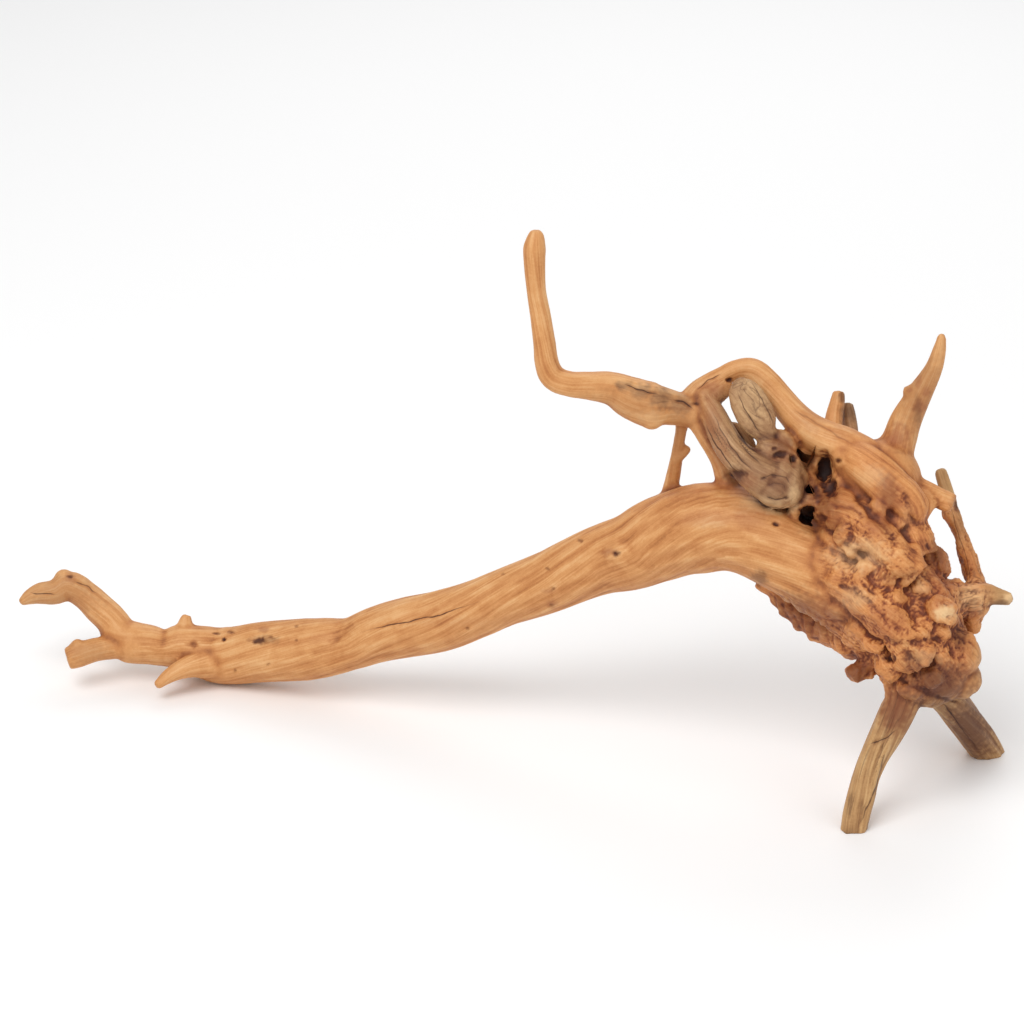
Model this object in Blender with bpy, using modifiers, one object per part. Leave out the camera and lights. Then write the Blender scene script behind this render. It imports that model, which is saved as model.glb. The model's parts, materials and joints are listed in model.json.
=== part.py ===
"""Aquarium driftwood: a gnarled root crown on two legs, with a long branch resting on its left end.

The piece is drawn in millimetres as someone standing in front of it sees it: u runs to the right,
v up and w towards the eye, which looks down on it by VIEW_ELEVATION from EYE_DISTANCE away. What is
nearer the eye looks larger, so place() turns a drawn point and a drawn radius into real ones.
"""

import math

import bmesh
import bpy
from mathutils import Matrix, Vector

MM = 0.001

# The view that the piece is drawn in
VIEW_ELEVATION = math.radians(25.0)
EYE_DISTANCE = 1500.0

# Where the drawing's own origin lies above the floor and from the middle of the piece
ORIGIN = Vector((4.95, -21.75, 144.1))

# How finely the limbs and lumps are made before they are fused
TUBE_ROUNDNESS = 4
STEPS_BETWEEN_POINTS = 5
BALL_DETAIL = 3
WELD_DISTANCE = 0.000001

# Wood is fused on this grid, softened, and then brought down to this many triangles
FUSE_GRID = 1.25
SOFTENING = 0.5
SOFTENING_ROUNDS = 3
TRIANGLES = 6900
# What fusing and softening take off a limb's radius, given back to each one drawn
LOST_TO_SOFTENING = 0.5

# Width of the saw cut that parts two lengths at a fork, and how round the round ones are
KERF = 0.3
CUT_SIDES = 24

# The block under the floor that cuts the resting places flat
FLOOR_WIDTH = 1.0
FLOOR_DEPTH = 0.1

# Edges sharper than this stay crisp when the wood is shaded smooth
CRISP_ANGLE = math.radians(50)

# Routes of the limbs: u, v, w and the radius there
LIMBS = {
    "main_branch": [
        (198, -62, 0, 17), (181, -51, 0, 19), (159, -35, -4, 20), (136.5, -20, -9, 20.5),
        (114, -8.7, -15, 21.5), (94, -8, -22, 22.5), (74, -13.9, -32, 21), (61, -19.5, -38, 19),
        (46, -23.4, -46, 17.1), (30.5, -29.4, -54, 16), (19, -34.4, -60, 15.2), (-4, -42.9, -72, 14.2),
        (-17, -48.2, -79, 14.4), (-36, -54.6, -89, 15), (-51, -57.6, -96, 14.8),
        (-68, -61.6, -104, 13.8), (-80.5, -65.8, -110, 12.8), (-93.5, -67.6, -115, 14.5),
        (-102.5, -68.5, -120, 15.2), (-125.5, -70, -130, 14.8), (-144.5, -71.8, -138, 14),
        (-156, -69.5, -138.5, 12.5), (-166, -67.5, -138, 11), (-174, -68, -137.5, 8.7),
        (-181, -66.5, -137, 9.6), (-191, -65, -136.5, 10.3), (-197, -63, -136.5, 8.5),
    ],
    "hooked_tip": [
        (-191, -65, -136, 9.5), (-196, -61, -136.5, 8.6), (-200, -54.5, -137, 7.5),
        (-206.6, -48, -138, 7.4), (-213.3, -41.8, -138, 6.9), (-221.5, -37.3, -137, 7.2),
        (-228.5, -40, -135, 5.6), (-236, -40.5, -133, 4.9), (-242, -43, -131, 3.4),
        (-246, -45.3, -130, 1.6),
    ],
    "short_tip_fork": [
        (-190, -66.5, -135, 8), (-199, -67.8, -132.5, 5.5), (-208.5, -69, -129, 5.6),
        (-217, -71.5, -126.5, 5.9), (-222.5, -73.3, -125.5, 5.2),
    ],
    "fork_prong": [(-216, -69, -126.5, 4.5), (-219.5, -65, -125.5, 2.6)],
    "tip_spur": [
        (-149, -74.5, -132, 6.5), (-156, -76.5, -127, 5), (-163.5, -78, -123, 3.9),
        (-171, -81.8, -120, 3.1), (-178, -87.2, -118, 1.9),
    ],
    "top_nub": [(-163.5, -60, -137, 5), (-163, -54, -137, 2.6), (-162.3, -51.5, -137, 1.7)],
    "arch_root": [
        (84, 50, -5, 5.5), (88, 54.5, -6, 5.5), (92, 60, -7, 4.8), (97, 64, -7, 4.4),
        (105, 68, -7, 4.5), (113, 71.3, -6.5, 4.8), (120, 70.8, -6, 5.9), (127, 65, -5, 6.4),
        (133.1, 57.7, -4, 6.7), (139.8, 49.5, -2, 7.1), (147.3, 42.1, 0, 8.1), (156.2, 36.8, 2, 8.9),
        (166.5, 31.5, 4, 10.5), (176.5, 22, 5, 14), (185, 10, 6, 17),
    ],
    "upper_arm": [
        (92, 49, -5, 7), (86, 50.8, -5, 7.6), (78, 52.6, -3.5, 8.8), (69, 53.8, -1, 11.2),
        (59.5, 57.2, 2, 10.2), (50, 61.8, 4.5, 8), (38, 63.2, 8, 6.9), (28, 64.2, 11, 6.3),
        (20.6, 67.6, 12.5, 6.2), (17.4, 74.5, 15, 5.7), (16.1, 83.5, 18, 5.3), (13.8, 98.5, 22, 4.9),
        (12, 110, 26, 4.6), (11.3, 122, 30, 5), (11.3, 132, 33, 5.3), (11.9, 138, 34.5, 3.8),
        (11.7, 140.8, 35, 2.2),
    ],
    "brace_root": [
        (90.5, 50, -4, 5.3), (95, 40.5, -5, 4.1), (99.4, 33, -7, 4), (103.9, 26, -10, 4.6),
        (107, 18.5, -14, 5.5), (110, 10, -16, 7),
    ],
    "back_twig": [
        (85.5, 47, -9, 3.2), (84.5, 40, -13, 2.6), (83.2, 33, -18, 2.6), (81.8, 24, -24, 2.9),
        (80, 15, -30, 3.2), (78.5, 7, -34, 4),
    ],
    "back_twig_prong": [(83.6, 27.5, -20, 2.2), (86.3, 30, -19, 2), (88.5, 32.6, -18, 1.6)],
    "strap_upper": [
        (96, 57.5, -4, 4.2), (98, 53.5, -0.5, 5.4), (100.5, 48.5, 1.5, 5.9), (104.5, 40, 3, 6.6),
        (109, 32.5, 4.5, 7.2),
        (115, 26, 6, 8), (121.5, 20, 7, 9.5), (128, 15.5, 8, 10.5),
    ],
    "top_spike": [
        (186, 18, 0, 14), (190, 28, 0, 10.5), (193.6, 36, 0.5, 8.1), (196.4, 44.5, 2, 7.2),
        (200.3, 52.5, 5, 6.3), (204, 59.5, 8, 5.7), (208, 66.5, 11, 4.8), (211, 73, 14, 4),
        (213.3, 81, 17, 3.1), (214.4, 86.5, 19, 2.1), (214.6, 89.3, 20, 1.4),
    ],
    "spike_nub": [(199, 60.5, 8, 3.5), (198.2, 63, 8.5, 2)],
    "twin_stub_left": [
        (161, 33, -8, 5), (160.3, 40, -12, 4.4), (161, 48, -15, 4), (162.5, 55, -17, 3.5),
        (163.3, 60.3, -18, 2.7),
    ],
    "twin_stub_right": [
        (169, 33, -14, 5), (169.3, 41, -20, 3.6), (168.6, 48, -23, 3.1), (167.6, 54, -25, 2.5),
    ],
    "side_peg": [(198, 12, 2, 7), (207, 9.4, 4, 5.6), (213.5, 6.7, 5, 4.9), (220.7, 3.8, 6, 4.5)],
    "rear_twig": [
        (231, -46, -16, 6), (231.3, -36, -17, 4.8), (229, -26, -19, 4.2), (225.3, -16.5, -22, 3.9),
        (223, -9, -24, 3.5), (220.3, -1.5, -27, 3.4), (216.8, 11, -31, 3.1),
        (214.2, 19.5, -34, 2.8), (213.7, 21.8, -34.5, 1.7),
    ],
    "right_knob": [
        (205, -45, -5, 14), (218, -45, -7, 10.5), (226, -44, -9, 9), (232.5, -44, -9.5, 9.2),
    ],
    "knob_point": [(230.5, -47, -10, 7.5), (230, -54.5, -13, 4.8), (231.2, -60.5, -13.5, 2)],
    "right_prong": [
        (234, -42, -10, 7), (240, -41.5, -10, 4.8), (246, -42.4, -9, 3.5), (249.7, -43.4, -8, 2.8),
    ],
    "front_leg": [
        (201, -68, 5, 14), (198.5, -82, 5, 9.8), (195, -94, 4, 8.8), (191, -103, 3, 8.5),
        (186.3, -112.5, 2, 7.8), (181.2, -122.5, 0.5, 6.9), (177.6, -131.5, -0.5, 6.6),
        (174.9, -141.5, -1.5, 6.9), (172.5, -150, -2, 6.6), (170.9, -158, -2.5, 6.3),
        (169.3, -167, -3, 6),
    ],
    "rear_leg": [
        (205, -70, -10, 14), (210.5, -82, -20, 10.5), (216, -91, -30, 8.8), (221.8, -98.2, -40, 8.2),
        (227.2, -105, -50.5, 8.1), (232.4, -111.6, -61, 8.1), (236.7, -118.2, -70.5, 7.6),
        (240.5, -126, -81, 7.2),
    ],
    "under_root": [
        (123, -34, -38, 3.6), (130, -37.5, -38, 4.8), (138.5, -44.5, -37, 7.2),
        (147, -50.5, -34.5, 8.8), (156, -55.5, -29, 9.6), (164, -59, -21, 10.2),
        (176.5, -62, -10, 12), (194, -66, -4, 17),
    ],
    "under_stub": [
        (184, -67, -6, 7), (178, -73.5, -5, 5), (174, -78.4, -4, 4.4), (170, -82.4, -3, 4),
    ],
    "stub_splinter": [(176, -76, -3.5, 2.5), (179.2, -80.5, -3, 1.7), (180, -83, -3, 1.2)],
    "shoulder_ridge": [
        (158, 35.5, 1, 6), (168, 30, 6, 8.5), (178, 22.5, 14, 10), (188, 13, 19, 10.5), (197, 4, 19, 10),
        (199.5, -8, 15, 8.5), (203, -20, 13, 8.5),
    ],
    "crown_band": [
        (132, -17, -8, 11), (146, -19.5, 0, 12.5), (159, -25, 10, 13), (172, -36, 20, 12),
        (184, -50, 26, 10),
        (195, -60, 27, 9), (206, -72, 22, 10),
    ],
    "middle_fold": [
        (150, 5, -6, 9), (158, 3, 1, 11), (167, 0, 11, 11), (178, -8, 22, 10), (189, -20, 26, 9), (200, -32, 24, 9),
    ],
}

# Lumps that swell the limbs: u, v, w and the radius
LUMPS = [
    (184, 16, 0, 20.5), (179, -12, 0, 27.5), (196.5, -49, 2, 27), (208, -74, 0, 23.5),
    (190, -28, -20, 24), (203, -66, -20, 20), (176, -42, -14, 19),
    (201.5, 3.5, 6, 10.5), (201, -12, 2, 7), (209.7, -27, 2, 9), (209, -43, 17, 10),
    (222.5, -36, -9, 4.5), (223.6, -72, 8, 11), (225, -83.5, 2, 10), (201, -86, 12, 9),
    (188, -76, 16, 8), (163, 12, 2, 9), (151, 4, 2, 8), (144.8, 38.5, -4, 6), (148, 32, -5, 7.5), (154, 24, -6, 8),
    (146, 20, -4, 7.5), (151, 12, -5, 8), (174, -58, 16, 8), (165, -48, 12, 8),
    (187, -33, 27, 6.5), (177, -28, 26, 5.5), (199, -21, 24, 6), (193, -44, 29, 6),
    (203, -55, 26, 7), (213, -60, 21, 7), (196, -73, 24, 6.5), (209, -82, 20, 7),
    (203.5, -37, 24, 5), (208, -40, 25, 4), (165, -12, 24, 6), (171, -18, 25, 5),
    (183, 2, 26, 6.5), (192, -6, 25, 6), (214, -70, 20, 6), (182, -66, 20, 5.5),
    (70, 47.5, 0, 6.5), (-221, -35, -136.5, 4.5), (52.5, -19.5, -32, 3.5),
    (101, 58.5, -4, 4.2), (96.5, 58, -4, 5), (143.5, 2, 3, 5), (148, 14, -2, 7),
]

# The pale cut peg on the face of the crown
PEG = [(209, -46, 22, 6), (214.5, -49.5, 30, 5.6), (219, -51.5, 34, 5)]

# Flattened pieces of old wood: middle, long axis in u and v, half length, half width, half depth
PLATES = {
    "weathered_flap": ((120.3, 51.3, 7), (15, -28), 18, 10, 4.2),
    "flap_side": ((117, 45.5, 3), (13, -26), 8, 3, 4),
    "knob_cluster": ((137, 35.5, 4), (8, -9), 7.5, 4.6, 5),
    "junction_web": ((101.5, 60, -4), (10, 5.5), 10, 6.8, 3.2),
    "strap_lobe": ((133, 13.5, 9), (10, -4), 13.5, 12, 9),
    "eye_rim": ((133, 29, 7), (10, -6), 12, 6.5, 6),
    "eye_knobs": ((140, 22, 5), (6, -10), 12, 6, 6.5),
}

# Hollows between the old wood and the crown: u, v, w and the radius
PITS = [(157, 21, 9, 6.5), (147.5, 1.5, 14, 5.2), (140.5, 28, 12, 3.2), (131.5, 31, 14, 3.4)]

# Forks where the wood is parted: middle, direction of the cut's axis, and the cut's radius
FORK_CUTS = {
    "hooked_tip": ((-200.5, -52.5, -137), (-5, 8.7, -0.5), 11),
    "short_tip_fork": ((-207, -69.4, -129.7), (-9.5, -0.5, 3), 8),
    "tip_spur": ((-166, -79, -122), (-8, -2.5, 3), 5.5),
    "upper_arm": ((80, 52, -4), (-10, 1.5, 2), 12.5),
    "strap_root": ((96, 45.5, 0), (5, -8.5, 0), 14),
    "back_twig_top": ((84.2, 38, -14.5), (-1, -7, -4), 5),
    "back_twig_foot": ((80.2, 16, -29.3), (-1.7, -9, -6), 6),
    "top_spike": ((194.6, 41, 1.4), (2.5, 8.5, 1.5), 11),
    "twin_stubs": ((164.8, 47.5, -19), (0.5, 9, -3), 10),
    "side_peg": ((214.3, 6.3, 5), (7, -2.6, 1), 6.6),
    "rear_twig": ((229.3, -28, -18.6), (-2.5, 9.5, -2.5), 6.6),
    "right_knob": ((226.6, -46, -9), (10, 2, -0.5), 17.5),
    "front_leg": ((190.3, -102.5, 4), (-4, -9.5, -1), 12.5),
    "rear_leg": ((222.5, -100, -39), (5.3, -7, -9), 12),
    "under_stub": ((172.6, -79.8, -3.8), (-5, -4.9, 1), 6.4),
}

# Flat cuts: middle, direction of the cut's axis, half its length across the view, half its depth
FLAT_CUTS = {
    "crown_cut": ((151, -12, -12), (1, 0, 0), 76, 66),
    "strap_cut": ((124, 12.2, 4), (3, 9.6, 0), 30, 34),
    "lobe_cut": ((138.3, 21.8, 0), (1, 0, 0), 15.4, 22),
    "arch_foot": ((136, 39.7, 0), (7, 4.8, 0), 5.2, 22),
    "flap_cut": ((127.1, 38.3, 6), (5, -8, 0), 9.7, 10),
}

# A point inside each piece, to tell the parted lengths from one another
INSIDE = {
    "root_crown": (184, -12, 5),
    "main_branch": (19, -33.5, -60),
    "hooked_tip": (-221, -38, -137),
    "short_tip_fork": (-214, -70.5, -127.5),
    "tip_spur": (-171, -81.5, -120),
    "upper_arm": (48, 62.5, 5),
    "arch_root": (120, 72, -6),
    "strap_root": (109, 32.5, 4.5),
    "weathered_flap": (121, 50.5, 6),
    "back_twig": (81.8, 24, -24),
    "top_spike": (203, 59.5, 8),
    "twin_stub_left": (162.3, 54, -17),
    "twin_stub_right": (168, 51, -24),
    "side_peg": (218, 5, 5.6),
    "rear_twig": (220.3, -1.5, -27),
    "right_knob": (232.5, -44.5, -9.5),
    "front_leg": (177, -131.5, 1),
    "rear_leg": (229, -109, -50),
    "under_root": (138, -44.2, -37),
    "under_stub": (170.6, -81.8, -3.2),
}

# The direction in which a point's own piece is looked for
RAY = (0.2, 0.3, 1.0)

# Colour and roughness of each kind of wood, and the pieces that are not of peeled wood
WOODS = {
    "peeled_wood": ((0.62, 0.36, 0.17, 1.0), 0.55),
    "crown_wood": ((0.42, 0.20, 0.10, 1.0), 0.6),
    "weathered_wood": ((0.30, 0.22, 0.15, 1.0), 0.75),
    "leg_wood": ((0.48, 0.32, 0.17, 1.0), 0.7),
}
WOOD_OF = {
    "root_crown": "crown_wood",
    "under_root": "crown_wood",
    "under_stub": "crown_wood",
    "strap_root": "weathered_wood",
    "weathered_flap": "weathered_wood",
    "twin_stub_right": "weathered_wood",
    "rear_twig": "leg_wood",
    "right_knob": "leg_wood",
    "front_leg": "leg_wood",
    "rear_leg": "leg_wood",
}


def turn(direction):
    """A direction of the drawing, turned into the piece's own axes."""
    u, v, w = direction
    sine = math.sin(VIEW_ELEVATION)
    cosine = math.cos(VIEW_ELEVATION)
    return Vector((u, v * sine - w * cosine, v * cosine + w * sine))


def place(point):
    """A point of the drawing in metres, nearer points being drawn larger than they are."""
    u, v, w = point
    scale = 1 - w / EYE_DISTANCE
    return (turn((u * scale, v * scale, w)) + ORIGIN) * MM


def real(size, w):
    """A length drawn at depth w, in metres."""
    return size * (1 - w / EYE_DISTANCE) * MM


def clear_scene():
    for obj in list(bpy.data.objects):
        bpy.data.objects.remove(obj, do_unlink=True)


def add_object(name, mesh, collection):
    obj = bpy.data.objects.new(name, mesh)
    collection.objects.link(obj)
    return obj


def evaluated_mesh(obj):
    graph = bpy.context.evaluated_depsgraph_get()
    return bpy.data.meshes.new_from_object(obj.evaluated_get(graph))


def apply_modifier(obj, kind, **settings):
    """Adds one modifier with these settings and keeps its result as the object's mesh."""
    modifier = obj.modifiers.new(kind.lower(), kind)
    for name, value in settings.items():
        setattr(modifier, name, value)
    mesh = evaluated_mesh(obj)
    obj.modifiers.clear()
    spent = obj.data
    obj.data = mesh
    bpy.data.meshes.remove(spent)


def limb_mesh(name, route, collection):
    """A smooth tapering tube along a route, its ends closed and welded."""
    curve = bpy.data.curves.new(name, "CURVE")
    curve.dimensions = "3D"
    curve.bevel_depth = MM
    curve.bevel_resolution = TUBE_ROUNDNESS
    curve.use_fill_caps = True
    curve.resolution_u = STEPS_BETWEEN_POINTS
    spline = curve.splines.new("BEZIER")
    spline.bezier_points.add(len(route) - 1)
    for point, (u, v, w, radius) in zip(spline.bezier_points, route):
        point.co = place((u, v, w))
        point.radius = real(radius + LOST_TO_SOFTENING, w) / MM
        point.handle_left_type = "AUTO"
        point.handle_right_type = "AUTO"
    tube = add_object(name, curve, collection)
    mesh = evaluated_mesh(tube)
    bpy.data.objects.remove(tube)
    bpy.data.curves.remove(curve)
    return mesh


def drawing_frame(point, axis):
    """A matrix at a drawn point whose Z runs along the drawn axis."""
    along = turn(axis).normalized()
    return Matrix.Translation(place(point)) @ along.to_track_quat("Z", "Y").to_matrix().to_4x4()


def add_ball(form, point, radius):
    size = Matrix.Scale(real(radius, point[2]), 4)
    matrix = Matrix.Translation(place(point)) @ size
    bmesh.ops.create_icosphere(form, subdivisions=BALL_DETAIL, radius=1.0, matrix=matrix)


def add_plate(form, middle, axis, half_length, half_width, half_depth):
    """A flattened ball whose long axis is drawn and whose thin one faces the eye."""
    long_axis = turn((axis[0], axis[1], 0)).normalized()
    to_eye = turn((0, 0, 1))
    wide_axis = to_eye.cross(long_axis)
    depth = middle[2]
    columns = (
        long_axis * real(half_length, depth),
        wide_axis * real(half_width, depth),
        to_eye * real(half_depth, depth),
    )
    shape = Matrix(columns).transposed().to_4x4()
    matrix = Matrix.Translation(place(middle)) @ shape
    bmesh.ops.create_icosphere(form, subdivisions=BALL_DETAIL, radius=1.0, matrix=matrix)


def rough_wood(collection):
    """All limbs, lumps and plates, still overlapping, as one mesh."""
    form = bmesh.new()
    for name, route in list(LIMBS.items()) + [("peg", PEG)]:
        mesh = limb_mesh(name, route, collection)
        form.from_mesh(mesh)
        bpy.data.meshes.remove(mesh)
    bmesh.ops.remove_doubles(form, verts=form.verts, dist=WELD_DISTANCE)
    for u, v, w, radius in LUMPS:
        add_ball(form, (u, v, w), radius)
    for plate in PLATES.values():
        add_plate(form, *plate)
    mesh = bpy.data.meshes.new("wood")
    form.to_mesh(mesh)
    form.free()
    return add_object("wood", mesh, collection)


def largest_shell(obj):
    """Keeps the outer skin and drops any small pocket closed in by the fusing."""
    form = bmesh.new()
    form.from_mesh(obj.data)
    seen = set()
    shells = []
    for start in form.faces:
        if start in seen:
            continue
        seen.add(start)
        shell = [start]
        for face in shell:
            for edge in face.edges:
                for other in edge.link_faces:
                    if other not in seen:
                        seen.add(other)
                        shell.append(other)
        shells.append(shell)
    shells.sort(key=len)
    dropped = [face for shell in shells[:-1] for face in shell]
    bmesh.ops.delete(form, geom=dropped, context="FACES")
    form.to_mesh(obj.data)
    form.free()


def cutter(name, collection):
    mesh = bpy.data.meshes.new(name)
    obj = add_object(name, mesh, collection)
    obj.hide_render = True
    obj.display_type = "WIRE"
    return obj


def fill_cutter(obj, form):
    form.normal_update()
    form.to_mesh(obj.data)
    form.free()


def pit_cutter(collection):
    form = bmesh.new()
    for u, v, w, radius in PITS:
        add_ball(form, (u, v, w), radius)
    obj = cutter("pits", collection)
    fill_cutter(obj, form)
    return obj


def fork_cutter(collection):
    """Thin round discs, one across each fork."""
    form = bmesh.new()
    for middle, axis, radius in FORK_CUTS.values():
        size = real(radius, middle[2])
        bmesh.ops.create_cone(
            form, cap_ends=True, segments=CUT_SIDES, radius1=size, radius2=size, depth=KERF * MM,
            matrix=drawing_frame(middle, axis),
        )
    obj = cutter("fork_cuts", collection)
    fill_cutter(obj, form)
    return obj


def flat_cutter(name, cut, collection):
    """A thin flat slab across the view, with the drawn axis as its normal."""
    middle, axis, half_long, half_deep = cut
    normal = turn(axis).normalized()
    to_eye = turn((0, 0, 1))
    along = to_eye.cross(normal)
    size = (along * 2 * half_long * MM, to_eye * 2 * half_deep * MM, normal * KERF * MM)
    matrix = Matrix.Translation(place(middle)) @ Matrix(size).transposed().to_4x4()
    form = bmesh.new()
    bmesh.ops.create_cube(form, size=1.0, matrix=matrix)
    bmesh.ops.recalc_face_normals(form, faces=form.faces)
    obj = cutter(name, collection)
    fill_cutter(obj, form)
    return obj


def floor_cutter(collection):
    """A block whose top is the floor, to cut flat what the piece stands on."""
    form = bmesh.new()
    bmesh.ops.create_cube(form, size=1.0)
    bmesh.ops.scale(form, vec=(FLOOR_WIDTH, FLOOR_WIDTH, FLOOR_DEPTH), verts=form.verts)
    bmesh.ops.translate(form, vec=(0, 0, -FLOOR_DEPTH / 2), verts=form.verts)
    obj = cutter("floor_cut", collection)
    fill_cutter(obj, form)
    return obj


def cut_with(obj, tool):
    apply_modifier(obj, "BOOLEAN", operation="DIFFERENCE", object=tool, solver="EXACT")


def fuse(obj):
    apply_modifier(obj, "REMESH", mode="VOXEL", voxel_size=FUSE_GRID * MM)
    largest_shell(obj)


def make_wood(wood_parts, cutters):
    obj = rough_wood(wood_parts)
    fuse(obj)
    cut_with(obj, pit_cutter(cutters))
    fuse(obj)
    apply_modifier(obj, "SMOOTH", factor=SOFTENING, iterations=SOFTENING_ROUNDS)
    apply_modifier(obj, "TRIANGULATE")
    ratio = TRIANGLES / len(obj.data.polygons)
    apply_modifier(obj, "DECIMATE", ratio=ratio, use_collapse_triangulate=True)
    cut_with(obj, floor_cutter(cutters))
    cut_with(obj, fork_cutter(cutters))
    for name, cut in FLAT_CUTS.items():
        cut_with(obj, flat_cutter(name, cut, cutters))
    return obj


def is_inside(obj, point):
    """Whether a ray from the point leaves the closed object before it enters it."""
    hit, _, normal, _ = obj.ray_cast(point, turn(RAY))
    return hit and turn(RAY).dot(normal) > 0


def wood_material(name):
    colour, roughness = WOODS[name]
    material = bpy.data.materials.new(name)
    material.use_nodes = True
    shader = material.node_tree.nodes["Principled BSDF"]
    shader.inputs["Base Color"].default_value = colour
    shader.inputs["Roughness"].default_value = roughness
    shader.inputs["Metallic"].default_value = 0.0
    return material


def part_at_forks(obj):
    """Separates the parted lengths, and names each by the drawn point that it holds."""
    bpy.context.view_layer.objects.active = obj
    obj.select_set(True)
    bpy.ops.mesh.separate(type="LOOSE")
    lengths = list(bpy.context.selected_objects)
    if len(lengths) != len(INSIDE):
        raise ValueError(f"{len(lengths)} lengths for {len(INSIDE)} names")
    materials = {name: wood_material(name) for name in WOODS}
    for name, point in INSIDE.items():
        holders = [length for length in lengths if is_inside(length, place(point))]
        if len(holders) != 1:
            raise ValueError(f"{len(holders)} lengths hold the point of {name}")
        length = holders[0]
        length.name = name
        length.data.name = name
        length.data.materials.clear()
        length.data.materials.append(materials[WOOD_OF.get(name, "peeled_wood")])
        length.data.shade_smooth()
        length.data.set_sharp_from_angle(angle=CRISP_ANGLE)


def main():
    clear_scene()
    wood_parts = bpy.data.collections.new("aquarium_driftwood")
    cutters = bpy.data.collections.new("cutters")
    bpy.context.scene.collection.children.link(wood_parts)
    bpy.context.scene.collection.children.link(cutters)
    part_at_forks(make_wood(wood_parts, cutters))


main()
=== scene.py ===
import json
import math

import bmesh
import bpy
import numpy as np
from mathutils import Matrix, Vector

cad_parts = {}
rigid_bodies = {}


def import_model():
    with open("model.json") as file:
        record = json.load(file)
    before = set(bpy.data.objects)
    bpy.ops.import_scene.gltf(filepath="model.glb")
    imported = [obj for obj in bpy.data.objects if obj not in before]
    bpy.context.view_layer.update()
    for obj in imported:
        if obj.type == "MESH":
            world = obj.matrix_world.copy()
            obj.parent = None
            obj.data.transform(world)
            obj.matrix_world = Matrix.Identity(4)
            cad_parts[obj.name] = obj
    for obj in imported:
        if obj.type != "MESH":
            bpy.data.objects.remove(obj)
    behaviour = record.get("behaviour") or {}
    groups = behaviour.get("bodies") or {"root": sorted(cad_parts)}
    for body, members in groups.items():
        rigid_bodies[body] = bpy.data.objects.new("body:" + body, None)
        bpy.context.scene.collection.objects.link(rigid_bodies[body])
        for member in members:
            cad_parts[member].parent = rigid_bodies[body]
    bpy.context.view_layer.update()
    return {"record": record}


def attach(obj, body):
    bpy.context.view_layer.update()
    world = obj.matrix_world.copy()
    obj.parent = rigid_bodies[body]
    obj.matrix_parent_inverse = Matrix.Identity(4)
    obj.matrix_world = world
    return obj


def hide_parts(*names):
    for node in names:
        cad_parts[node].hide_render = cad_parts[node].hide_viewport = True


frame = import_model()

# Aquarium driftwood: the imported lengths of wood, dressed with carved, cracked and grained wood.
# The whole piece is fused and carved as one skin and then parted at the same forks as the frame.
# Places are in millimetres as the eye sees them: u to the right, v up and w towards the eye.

MM = 0.001

# The view that the piece is drawn in, and the drawing's own origin in the frame
VIEW_ELEVATION = math.radians(25.0)
SINE = math.sin(VIEW_ELEVATION)
COSINE = math.cos(VIEW_ELEVATION)
EYE_DISTANCE = 1500.0
ORIGIN = Vector((4.95, -21.75, 144.1))
TO_EYE = Vector((0.0, -COSINE, SINE))

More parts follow.
